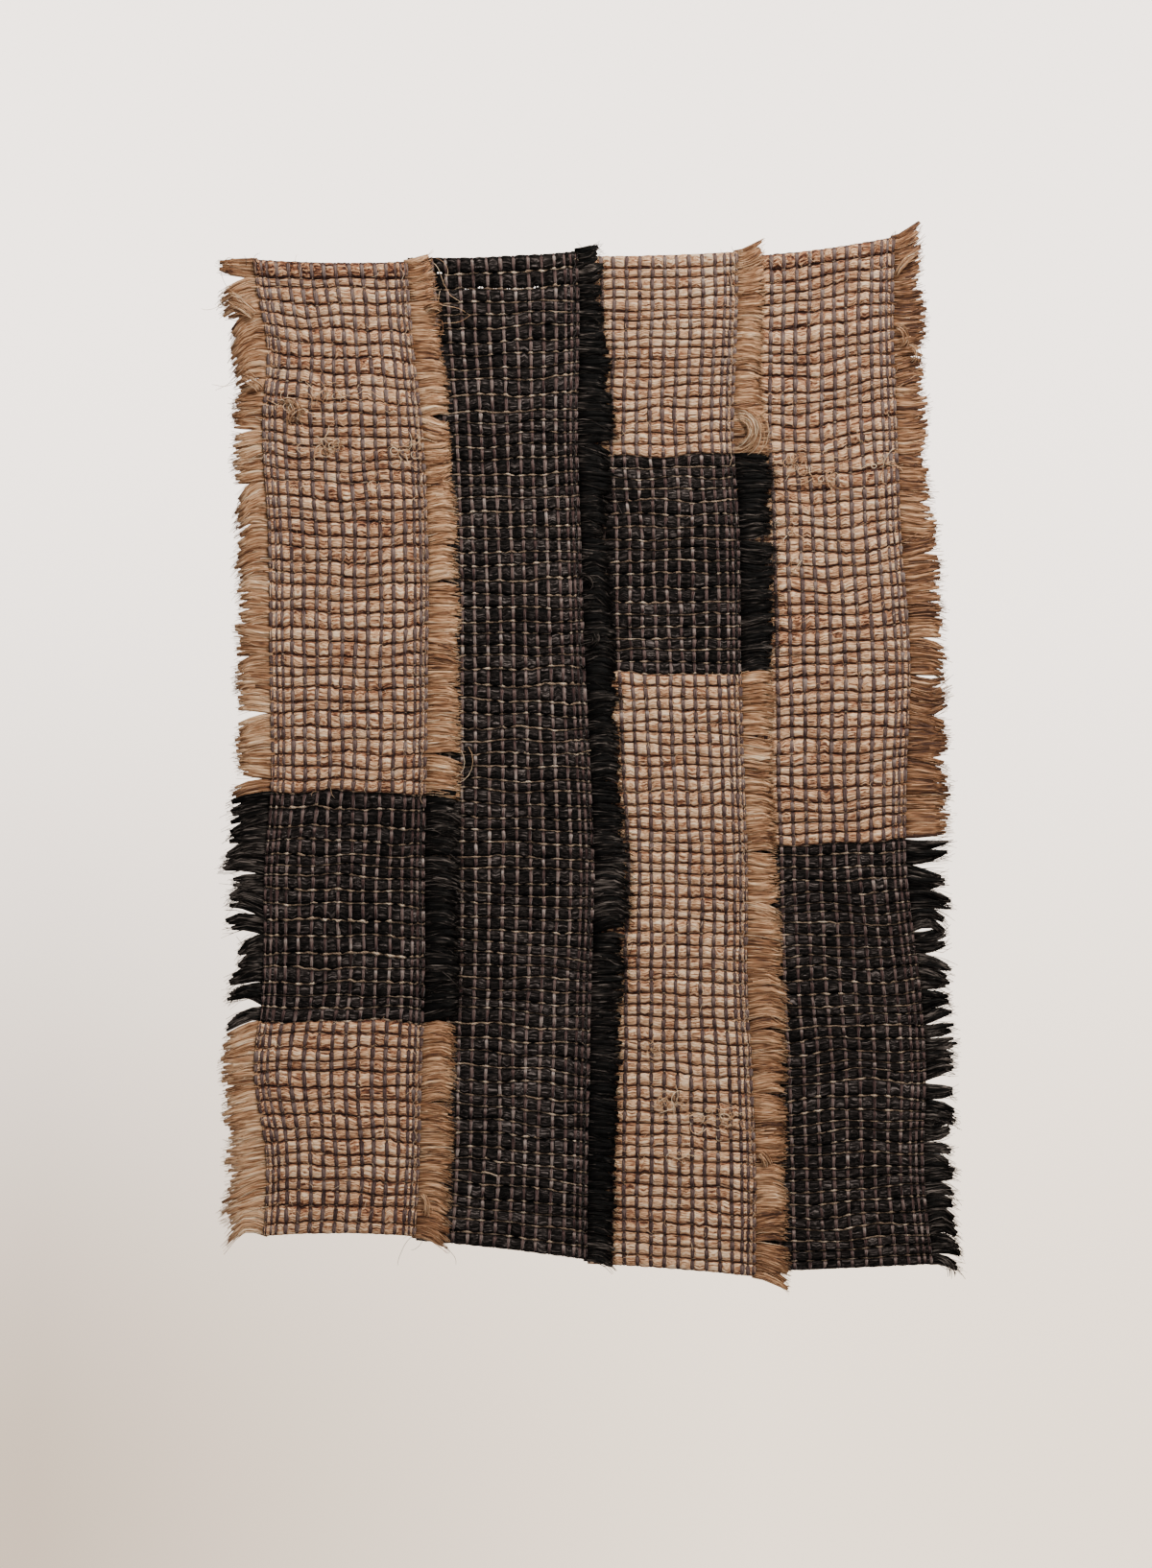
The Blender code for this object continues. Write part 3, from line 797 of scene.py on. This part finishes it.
def gather_tufts(styles, rng):
    """Which tuft each bundle of a fringe belongs to, counted from the top down."""
    tufts = [0]
    left = rng.integers(*STYLES[styles[0]][0], endpoint=True) - 1
    for above, style in zip(styles, styles[1:]):
        if left == 0 or style != above:
            tufts.append(tufts[-1] + 1)
            left = rng.integers(*STYLES[style][0], endpoint=True)
        else:
            tufts.append(tufts[-1])
        left -= 1
    return np.array(tufts)


def cut_fringe(strip, side):
    """One fringe: each weft's own end as thick hanks and loose strands."""
    name = f"fringe_{strip}_{side}"
    way = 1 if side == "right" else -1
    seam = strip if side == "right" else strip - 1
    hidden = side == "left" and strip > 1
    over = strip + 1 if side == "right" and strip < len(ENDS) else None
    base = THICKNESS + LAYER_GAP if over else OPEN_LIFT + (LAP if side == "right" else 0)
    base = 0.0 if hidden else base
    thick = HIDDEN_ROOT if hidden else ROOT_THICKNESS
    own_middle = (LAP if side == "right" else 0) + THICKNESS / 2
    edges, black = ROWS[strip]
    rows = len(black)
    rng = np.random.default_rng(FRINGE_SEED + strip * 2 + (way > 0))
    outer = "" if over else "outer "
    styles = ["hidden" if hidden else outer + ("black" if dark else "natural") for dark in black]
    gather, neck, tip_width, twist, turn, strands, cores, fill, wander, curl, cut, ragged = (
        np.array([STYLES[style][1:] for style in styles]).T)
    tuft = gather_tufts(styles, rng)
    tufts = tuft[-1] + 1
    root = hang(strip, np.full(rows, float(side == "right")), np.arange(rows) + 0.5, 0)[:, 2]
    half = -np.diff(edges) / 2
    middle = np.array([root[tuft == number].mean() for number in tuft])
    reach = np.full(rows, HIDDEN_REACH)
    if not hidden:
        reach = through(REACHES, REACH_COLUMNS.index(name), root)
    sizes = np.bincount(tuft)[tuft]
    crown = (root - middle) / (PITCH * np.maximum(sizes / 2, 1))
    reach = reach * (1 + ragged * TUFT_CROWN * (0.5 - crown ** 2)) * rng.uniform(*CUT_SPREAD, rows)
    reach = reach * (1 + ragged * TUFT_REACH * rng.normal(0, 1, tufts)[tuft])
    turn = DROOP.get(name, OTHER_DROOP) + turn * rng.normal(0, 1, tufts)[tuft]
    turn = turn + rng.normal(0, BUNDLE_TURN, rows)
    if side == "right":
        turn = turn + TOP_FLARE * np.exp((root - root[0]) / FLARE_LENGTH)
    if not hidden:
        turn = turn + END_FLARE * np.exp((root[-1] - root) / FLARE_LENGTH)
    if name == "fringe_1_left":
        turn[0] = ROLL_TURN
        turn[1:FRIZZ_ROWS] = FRIZZ_TURN
        tip_width[0] = ROLL_WIDTH
    slope = np.tan(np.radians(turn))
    gather = gather * np.where(tuft == 0, TOP_GATHER, rng.normal(*GATHER_SPREAD, tufts)[tuft])
    arc = TUFT_ARC * np.where(tuft == 0, 0, rng.normal(*ARC_SPREAD, tufts)[tuft])
    twist = twist * rng.choice((-1, 1), rows) * rng.uniform(*TWIST_SPREAD, rows)

    def follow(row, place, layer, length, stray, lift, sway):
        """The path of each fibre of some bundles, from its row and its draws."""
        def path(number, share):
            """x, z and depth of a fibre at a share of its length."""
            r = row[number]
            far = (reach[r] + ROOT_INSET) * length[number] * share - ROOT_INSET
            t = np.clip(far / reach[r], 0, LONGEST)
            angle = twist[r] * t
            side_way = place[number] * np.cos(angle) - (2 * layer[number] - 1) * np.sin(angle)
            depth_way = place[number] * np.sin(angle) + (2 * layer[number] - 1) * np.cos(angle)
            width = neck[r] + (tip_width[r] - neck[r]) * t
            width = width + (ROOT_WIDTH - neck[r]) * np.clip(1 - t / NECK_AT, 0, 1)
            z = root[r] + (middle[r] - root[r]) * np.minimum(gather[r], MOST_GATHER) * t
            z = z + side_way * width * half[r] + stray[number] * t * t
            z = z + slope[r] * reach[r] * t ** BEND_CURVE + arc[r] * np.sin(math.pi * t)
            z = z + sway[number] * np.sin(CURL_TURN * t + number) * t
            if hidden:
                z = np.clip(z, sagged(strip - 1, ENDS[strip - 1][4], 1.0) + HIDDEN_INSET,
                            sagged(strip - 1, ENDS[strip - 1][1], 1.0) - HIDDEN_INSET)
            x = seam_x(seam, z) + way * far
            flat = np.clip(1 - FLATTENED * t, FLATTEST, 1)
            layered = base + (depth_way + 1) / 2 * thick * flat
            layered = layered + TIP_LIFT * t + lift[number] * t * t
            if over:
                layered = layered + lap_at(over, x, z)
            blend = np.clip(1 - (far + ROOT_INSET) / ROOT_BLEND, 0, 1)
            layered = layered + (own_middle + depth_way * ROOT_SWELL - layered) * blend
            return x, z, BACK_GAP + stand_off(x, z) + np.maximum(layered, 0)
        return path

    parts = []
    for thin, per_row, kind in ((False, cores, HANK), (True, strands, STRAND)):
        row = np.repeat(np.arange(rows), per_row.astype(int))
        count = len(row)
        if thin:
            place = rng.uniform(-STRAND_PLACE, STRAND_PLACE, count)
            layer = rng.uniform(*STRAND_LAYER, count)
            length = rng.normal(1, 1, count) * cut[row] + 1 - cut[row]
            width = rng.uniform(*STRAND_HALF, count)
            stray = rng.normal(0, 1, count) * wander[row]
            stray = stray * np.where(rng.uniform(0, 1, count) < WILD_SHARE, WILD_STRAY, 1)
        else:
            order = np.concatenate([np.arange(number) for number in per_row.astype(int)])
            place = (order + 0.5) / per_row[row] * 2 - 1
            layer = rng.normal(*HANK_LAYER, count)
            length = rng.uniform(*HANK_LENGTH, count)
            width = half[row] / per_row[row] * fill[row]
            stray = rng.normal(0, HANK_STRAY, count)
        path = follow(row, place, layer, length, stray,
                      rng.normal(STRAND_LIFT, kind["lift"], count),
                      rng.normal(0, 1, count) * curl[row] * thin)
        piece, grain, owner, face_owner = draw_fibres(
            f"{name}_strands" if thin else name, count, kind["sides"], kind["spans"], path,
            lambda number, t: width[number] * np.interp(t, PROFILE_AT, kind["profile"]),
            flat=kind["flat"])
        shade = rng.normal(0.5, FIBRE_SHADE, count) + rng.normal(0, BUNDLE_SHADE, rows)[row]
        paler = np.interp(root, (-DROP, 0), NATURAL_SHADE.get(name, (0, 0)))
        # Outer black fringes get painted glints.
        shade = shade + np.where(black, PAINTED_BLACK_GLINT.get(name, 0), paler)[row]
        # Hanks are darkened by painted shade inside their bundle.
        mark(piece, grain, shade[owner] - kind["darker"])
        dress(piece, (cut_fibre, black_cut_fibre), black[row][face_owner])
        parts.append(piece)
    fringe = join(parts)
    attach(fringe, "root")
    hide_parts(name)
    return fringe


fringes = {strip: [cut_fringe(strip, side) for side in ("left", "right")] for strip in ENDS}


# The sewing: the strips are joined edge to edge with a single thread, in slanting stitches that
# show along each right selvedge. It is undyed beside undyed fibre, and black beside black fibre.
SEWING_SEED = 900
STITCH = 5.2             # the most that a stitch measures along the seam
STITCH_INSET = 3.2       # from the seam to the middle of the stitches
STITCH_SWING = 1.1       # how far they go to either side of that
STITCH_SPREAD = 0.45     # and how unevenly they do
STITCH_SHIFT = 0.6       # how far one strays up or down
STITCH_SIDES = 4
STITCH_RADIUS = 0.27
STITCH_RISE = 2.9        # how far the thread stands forward of the cloth's middle
STITCH_LIFT = 0.25       # and how unevenly
STITCH_SHADES = (0.3, 0.8)
SEAM_END = 4             # the sewing stops this far from each end of a strip
pale_thread = make_yarn(
    "undyed_sewing_thread",
    ((0.15, "#5c4433"), (0.45, "#8f7460"), (0.75, "#c4aa90"), (0.95, "#ead7bf")),
    roughness=0.7, pitch=1.4, relief=0.15)
dark_thread = make_yarn(
    "black_sewing_thread",
    ((0.15, "#0c0a09"), (0.45, "#1d1917"), (0.75, "#38312e"), (0.95, "#574e4a")),
    roughness=0.7, pitch=1.4, relief=0.15)


def sew_seam(strip, thread):
    """The slanting stitches inside the right selvedge of a strip."""
    edges, black = ROWS[strip]
    length = edges[0] - edges[-1] - 2 * SEAM_END
    count = int(length / STITCH)
    cuts = int(math.sqrt(count)) + 1
    rng = np.random.default_rng(SEWING_SEED + strip)
    seam = lay_tube(f"seam_{strip}_{strip + 1}", STITCH_SIDES, STITCH_RADIUS, count * STITCH,
                    (cuts, cuts), 2)
    points = places(seam.data.vertices, "co")
    down = places(seam.data.polygons, "center")[:, 2]
    station = np.rint(-points[:, 2] / (count * STITCH) * cuts ** 2).astype(int)
    total = cuts ** 2 + 1
    level = edges[0] - SEAM_END - length * station / total
    swing = STITCH_SWING * np.where(np.arange(total) % 2, 1, -1)
    swing = swing + rng.normal(0, STITCH_SPREAD, total)
    z = sagged(strip, level + rng.normal(0, STITCH_SHIFT, total)[station], 1.0)
    x = seam_x(strip, z) - STITCH_INSET + swing[station] + points[:, 0]
    lift = rng.normal(0, STITCH_LIFT, total)[station]
    depth = BACK_GAP + stand_off(x, z) + LAP + THICKNESS / 2 + STITCH_RISE + lift
    set_points(seam, np.stack((x, -(depth - points[:, 1]), z), axis=1))
    mark(seam, np.stack((-points[:, 2], points[:, 0], points[:, 1]), axis=1),
         rng.uniform(*STITCH_SHADES, len(points)))
    dark = np.interp(down / (count * STITCH) * length + edges[0], edges[:0:-1], black[::-1]) > 0.5
    dress(seam, (thread, dark_thread), dark)
    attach(seam, "root")


for strip, thread in ((1, pale_thread), (2, dark_thread), (3, pale_thread)):
    sew_seam(strip, thread)


# The loose fibres: single fibres that have worked out of the bundles. Short ones lie all over the
# undyed cloth, and long curled ones hang over the seams, the puckers and the top edge. Some ends
# have curled over as whole locks, and small tangles stand where bundles have frayed.
LOOSE_SEED = 950
LOOSE_SIDES = 3
LOOSE_AT = (0, 0.1, 0.8, 1)          # where a loose fibre has the widths of its profile
LOOSE_PROFILE = (0.7, 1, 0.9, 0.5)
LOOSE_SHADE = 0.72
LOOSE_SPREAD = 0.15      # how far the shade varies from one fibre to the next
WOBBLE = 0.05            # how far a fibre wobbles to its sides, as a share of its length
WOBBLE_TURN = 6          # how far that goes round along it, and where it starts at most, in radians
ARCH = 0.8               # how much of an arch a fibre makes
ARCH_START = 0.1
FUZZ = 1100              # how many short ones there are
FUZZ_SPANS = 4
FUZZ_LENGTH = (3.0, 9.0)
FUZZ_BEND = 110.0
FUZZ_RADIUS = 0.13
FUZZ_STRAY = 4           # how far from the middle of its row one starts
FUZZ_RISE = (0.2, 1.6)
LONG_SPANS = 8
LONG_RADIUS = 0.19
LONG_RISE = (0.8, 3)
LONG_FIBRES = (          # x, z, heading, length, bend and fibre
    (-107, -2, 10, 24, -150, "natural"),
    (-106, -5, -40, 20, -60, "natural"),
    (-101, -24, -110, 12, 30, "natural"),
    (-98, -20, -70, 16, 40, "natural"),
    (-102, -33, -12, 22, -10, "natural"),
    (-101, -46, -4, 22, 35, "natural"),
    (-100, -44, -60, 14, -90, "natural"),
    (-87, -331, -55, 34, -150, "natural"),
    (-82, -329, -50, 42, -165, "natural"),
    (-248, -10, -80, 26, 60, "natural"),
    (-247, -30, -100, 18, -120, "natural"),
    (-231, -8, 70, 8, 60, "black"),
    (-226, -6, 95, 9, -70, "black"),
    (-222, -7, 120, 8, 40, "black"),
    (-235, -84, 190, 18, 30, "natural"),
    (-238, -86, 205, 16, -40, "natural"),
    (-118, -654, -150, 24, 70, "black"),
    (-110, -652, -100, 16, -60, "black"),
    (-100, -660, -20, 18, -70, "black"),
    (199, 8, 80, 9, -40, "black"),
    (202, 9, 60, 7, 60, "black"),
    (96, -2, 100, 8, 20, "black"),
    (-10, 8, -20, 16, -160, "black"),
    (-4, 2, 60, 10, -60, "black"),
    (92, -12, -80, 28, 20, "natural"),
    (96, -40, 20, 18, 60, "natural"),
    (106, -26, 30, 12, -90, "natural"),
    (98, -62, -20, 16, 70, "natural"),
    (-196, -96, 10, 26, -60, "natural"),
    (-172, -92, -30, 22, 70, "natural"),
    (-150, -88, -50, 34, 20, "natural"),
    (-205, -110, 30, 18, -120, "natural"),
    (150, -136, 20, 24, -60, "natural"),
    (172, -142, -20, 26, 80, "natural"),
    (46, -568, 12, 24, -70, "natural"),
    (66, -576, -20, 22, 90, "natural"),
)
LOCK_RADIUS = 0.28
LOCK_SHADE = 0.55
LOCK_SHORTEST = 4
LOCK_HEADING = 5         # how far its fibres' headings vary
LOCK_LENGTHS = (0.85, 1.05)          # and, as shares, their lengths, bends and rises
LOCK_BENDS = (0.9, 1.1)
LOCK_RISES = (0.75, 1.1)
LOCKS = (                # x, z, heading, length, bend, width, how many fibres, rise and fibre
    (97, -107, 4, 36, -170, 9.0, 60, 7.0, "natural"),
    (-113, -626, -40, 18, -80, 3.5, 14, 6.0, "natural"),
    (112, -598, -30, 13, -60, 6.0, 18, 6.0, "natural"),
    (203, -14, 62, 24, -40, 3.5, 14, 2.0, "natural"),
    (204, -48, -15, 20, -120, 4.0, 8, 3.0, "natural"),
    (212, -62, -10, 14, -130, 3.5, 9, 2.5, "natural"),
    (-206, -98, 20, 22, -170, 4.0, 10, 3.0, "natural"),
    (-190, -103, 170, 20, 110, 3.0, 9, 3.0, "natural"),
    (-225, -40, 138, 22, 20, 7.0, 24, 2.5, "natural"),
    (-221, -90, 128, 16, 40, 6.0, 18, 2.5, "natural"),
    (-112, -38, 40, 13, -60, 5.0, 16, 5.5, "natural"),
    (229, -668, -10, 19, -75, 3.0, 12, 2.0, "black"),
    (-6, -215, 10, 14, -160, 4.0, 12, 6.0, "black"),
    (-4, -262, -20, 16, 150, 4.0, 12, 6.0, "black"),
)
TANGLES = (              # x, z, half width, half height and how many fibres
    (-201, -99, 7, 5, 14),
    (-177, -92, 10, 3, 14),
    (-176, -129, 13, 4, 26),
    (-122, -131, 9, 4, 14),
    (-145, -151, 5, 3, 5),
    (54, -566, 11, 4, 22),
    (84, -576, 15, 5, 26),
    (57, -601, 6, 4, 8),
    (42, -529, 7, 4, 8),
    (138, -141, 8, 4, 14),
    (153, -149, 10, 4, 16),
    (193, -142, 7, 4, 10),
    (134, -183, 5, 4, 7),
    (134, -209, 4, 3, 4),
)
TANGLE_SCATTER = 0.5     # how far its fibres lie about its middle, in its half sizes
TANGLE_LENGTH = (7.0, 17.0)
TANGLE_BEND = 240.0
TANGLE_RADIUS = 0.27
TANGLE_RISE = (0.8, 3.4)
TANGLE_SHADE = 0.76


def front_at(x, z):
    """How far the cloth's front stands forward at x, z."""
    lap = np.zeros(len(x))
    for strip in ENDS:
        lap = np.where(x > seam_x(strip - 1, z), lap_at(strip, x, z), lap)
    return BACK_GAP + stand_off(x, z) + lap + THICKNESS


def part_lock(lock, rng):
    """The starts and rises of a lock's fibres, side by side at its root."""
    x, z, heading, length, bend, width, count, rise = lock[:8]
    angle = math.radians(heading)
    starts = []
    for side in rng.uniform(-width / 2, width / 2, count):
        reach = max(length - side * math.radians(bend), LOCK_SHORTEST)
        starts.append((x - side * math.sin(angle), z + side * math.cos(angle),
                       heading + rng.normal(0, LOCK_HEADING), reach * rng.uniform(*LOCK_LENGTHS),
                       bend * rng.uniform(*LOCK_BENDS)))
    return starts, list(rise * rng.uniform(*LOCK_RISES, count))


def lay_loose(name, starts, radius, rises, material, rng, tint=LOOSE_SHADE):
    """Loose fibres over the cloth. Each start holds x, z, heading, length and bend."""
    x0, z0, heading, length, bend = np.array(starts, dtype=float).T
    count = len(x0)
    heading, bend = np.radians(heading), np.radians(bend)
    phase = rng.uniform(0, WOBBLE_TURN, count)

    def path(number, share):
        """x, z and depth of a fibre at a share of its length."""
        angle = heading[number] + bend[number] * share / 2
        chord = length[number] * share * np.sinc(bend[number] * share / 2 / math.pi)
        wobble = WOBBLE * length[number] * np.sin(WOBBLE_TURN * share + phase[number]) * share
        x = x0[number] + chord * np.cos(angle) - wobble * np.sin(angle)
        z = z0[number] + chord * np.sin(angle) + wobble * np.cos(angle)
        arch = np.sin(math.pi * np.clip(share * ARCH + ARCH_START, 0, 1))
        return x, z, front_at(x, z) + rises[number] * arch

    piece, grain, owner, _ = draw_fibres(
        name, count, LOOSE_SIDES, LONG_SPANS if radius > FUZZ_RADIUS else FUZZ_SPANS, path,
        lambda number, t: radius * np.interp(t, LOOSE_AT, LOOSE_PROFILE))
    mark(piece, grain, rng.normal(tint, LOOSE_SPREAD, count)[owner])
    dress(piece, (material,))
    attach(piece, "root")


def scatter(count, rng):
    """Starts of short fibres all over the undyed rows."""
    starts = []
    while len(starts) < count:
        strip = int(rng.integers(1, len(ENDS) + 1))
        black = ROWS[strip][1]
        row = int(rng.integers(len(black)))
        if not black[row]:
            x, _, z = hang(strip, np.array([rng.uniform(0, 1)]), np.array([row + 0.5]), 0)[0]
            starts.append((x, z + rng.uniform(-FUZZ_STRAY, FUZZ_STRAY), rng.uniform(0, 360),
                           rng.uniform(*FUZZ_LENGTH), rng.normal(0, FUZZ_BEND)))
    return starts


loose_rng = np.random.default_rng(LOOSE_SEED)
lay_loose("fuzz_natural", scatter(FUZZ, loose_rng), FUZZ_RADIUS,
          loose_rng.uniform(*FUZZ_RISE, FUZZ), cut_fibre, loose_rng)
for fibre, material in (("natural", cut_fibre), ("black", black_cut_fibre)):
    starts = [row[:5] for row in LONG_FIBRES if row[5] == fibre]
    lay_loose(f"loose_fibres_{fibre}", starts, LONG_RADIUS,
              loose_rng.uniform(*LONG_RISE, len(starts)), material, loose_rng)
    parted = [part_lock(lock, loose_rng) for lock in LOCKS if lock[-1] == fibre]
    starts = [start for lock, rises in parted for start in lock]
    rises = np.array([rise for lock, rises in parted for rise in rises])
    lay_loose(f"locks_{fibre}", starts, LOCK_RADIUS, rises, material, loose_rng, tint=LOCK_SHADE)
starts = [(x + half_width * loose_rng.normal(0, TANGLE_SCATTER),
           z + half_height * loose_rng.normal(0, TANGLE_SCATTER),
           loose_rng.uniform(0, 360), loose_rng.uniform(*TANGLE_LENGTH),
           loose_rng.normal(0, TANGLE_BEND))
          for x, z, half_width, half_height, count in TANGLES for _ in range(count)]
lay_loose("tangles", starts, TANGLE_RADIUS, loose_rng.uniform(*TANGLE_RISE, len(starts)),
          cut_fibre, loose_rng, tint=TANGLE_SHADE)


# The room: the camera level with the cloth's middle as in the photograph, a pale background with
# painted shade at its foot and left, a plain pale floor well below, soft daylight from the upper
# right, and a weaker light behind.
PIXEL = 0.64             # millimetres on the cloth for one pixel of the 1200 x 1634 frame
FRAME_SIZE = (1200, 1634)
ORIGIN_PIXEL = (616, 268)            # where the frame's origin lies in the photograph
FOCAL_LENGTH = 80.0
SENSOR = 36.0                        # on the long side
MIDDLE_DEPTH = 0.012                 # metres forward of the origin, where a pixel has that size
LOWERED = 0.0025                     # metres that the camera stands below the frame's middle
FLOOR_Z = -1.85                      # in metres, as all sizes in the room
FLOOR_RADIUS = 2.0
FLOOR_SIDES = 96
FLOOR_SPECKLE = 14.0

centre_x = (FRAME_SIZE[0] / 2 - ORIGIN_PIXEL[0]) * PIXEL * MM
centre_z = (ORIGIN_PIXEL[1] - FRAME_SIZE[1] / 2) * PIXEL * MM
distance = FRAME_SIZE[1] * PIXEL * MM * FOCAL_LENGTH / SENSOR
bpy.ops.object.select_all(action="DESELECT")
bpy.ops.object.camera_add(location=(centre_x, -distance - MIDDLE_DEPTH, centre_z - LOWERED),
                          rotation=(math.pi / 2, 0, 0))
camera = bpy.context.object
camera.name = "camera"
camera.data.lens = FOCAL_LENGTH
camera.data.sensor_width = SENSOR
bpy.context.scene.camera = camera

bpy.ops.mesh.primitive_circle_add(vertices=FLOOR_SIDES, radius=FLOOR_RADIUS, fill_type="NGON",
                                  location=(0, 0, FLOOR_Z))
floor = bpy.context.object
floor.name = "floor"
plaster, tree = start_material("pale_plaster_floor")
speckle = add_node(tree, "ShaderNodeTexNoise",
                   {"Vector": add_node(tree, "ShaderNodeTexCoord").outputs["Object"],
                    "Scale": FLOOR_SPECKLE, "Detail": 4}).outputs["Fac"]
ramp = add_node(tree, "ShaderNodeValToRGB", {"Fac": speckle}, ((0.3, "#ece8e3"), (0.7, "#f2efeb")))
tree.links.new(ramp.outputs["Color"], tree.nodes["Principled BSDF"].inputs["Base Color"])
tree.nodes["Principled BSDF"].inputs["Roughness"].default_value = 0.8
floor.data.materials.append(plaster)

# The background is painted shade towards its foot, darkest on the left.
BACKGROUND_TOP = "#e1d5cb"
BACKGROUND_FOOT_LEFT = "#87796b"
BACKGROUND_FOOT_RIGHT = "#bcac9a"
BACKGROUND_HEIGHT = (-0.21, 0.15)    # z of the lines of sight between which it pales upwards
BACKGROUND_SIDE = (-0.15, 0.05)      # and x of those between which its foot pales to the right
BACKGROUND_LIGHT = 5.0   # how bright it is to the eye
FILL_COLOUR = "#e6e0da"
FILL_LIGHT = 0.32        # how much light the room gives from all round
world = bpy.data.worlds.new("pale_room")
bpy.context.scene.world = world
world.use_nodes = True
tree = world.node_tree
heading = add_node(tree, "ShaderNodeTexCoord").outputs["Generated"]
aim = add_node(tree, "ShaderNodeSeparateXYZ", {"Vector": heading})
height = add_node(tree, "ShaderNodeMapRange",
                  {"Value": aim.outputs["Z"], "From Min": BACKGROUND_HEIGHT[0],
                   "From Max": BACKGROUND_HEIGHT[1]}, interpolation_type="SMOOTHSTEP")
side = add_node(tree, "ShaderNodeMapRange",
                {"Value": aim.outputs["X"], "From Min": BACKGROUND_SIDE[0],
                 "From Max": BACKGROUND_SIDE[1]})
foot = add_node(tree, "ShaderNodeValToRGB", {"Fac": side.outputs["Result"]},
                ((0.0, BACKGROUND_FOOT_LEFT), (1.0, BACKGROUND_FOOT_RIGHT)))
background = add_node(tree, "ShaderNodeMix",
                      {"Factor": height.outputs["Result"], 6: foot.outputs["Color"],
                       7: linear(BACKGROUND_TOP)}, data_type="RGBA").outputs[2]
seen = add_node(tree, "ShaderNodeBackground", {"Color": background,
                                               "Strength": BACKGROUND_LIGHT})
fill = add_node(tree, "ShaderNodeBackground", {"Color": linear(FILL_COLOUR),
                                               "Strength": FILL_LIGHT})
eye = add_node(tree, "ShaderNodeLightPath").outputs["Is Camera Ray"]
both = add_node(tree, "ShaderNodeMixShader", {0: eye, 1: fill.outputs[0], 2: seen.outputs[0]})
tree.links.new(both.outputs[0], tree.nodes["World Output"].inputs["Surface"])

LIGHTS = (               # name, place and size in metres, power in watts, and colour
    ("window_light", (0.6, -1.05, 1.15), 1.0, 56.0, "#fff8f0"),
    ("room_bounce", (-1.3, -1.6, -0.6), 1.6, 6.0, "#f4f4ff"),
    ("back_light", (1.3, 1.4, 0.9), 1.2, 40.0, "#fffaf4"),
)
for name, place, size, power, colour in LIGHTS:
    bpy.ops.object.light_add(type="AREA", location=place)
    light = bpy.context.object
    light.name = name
    light.data.shape = "DISK"
    light.data.size = size
    light.data.energy = power
    light.data.color = linear(colour)[:3]
    aim = Vector((0, 0, centre_z)) - light.location
    light.rotation_euler = aim.to_track_quat("-Z", "Y").to_euler()
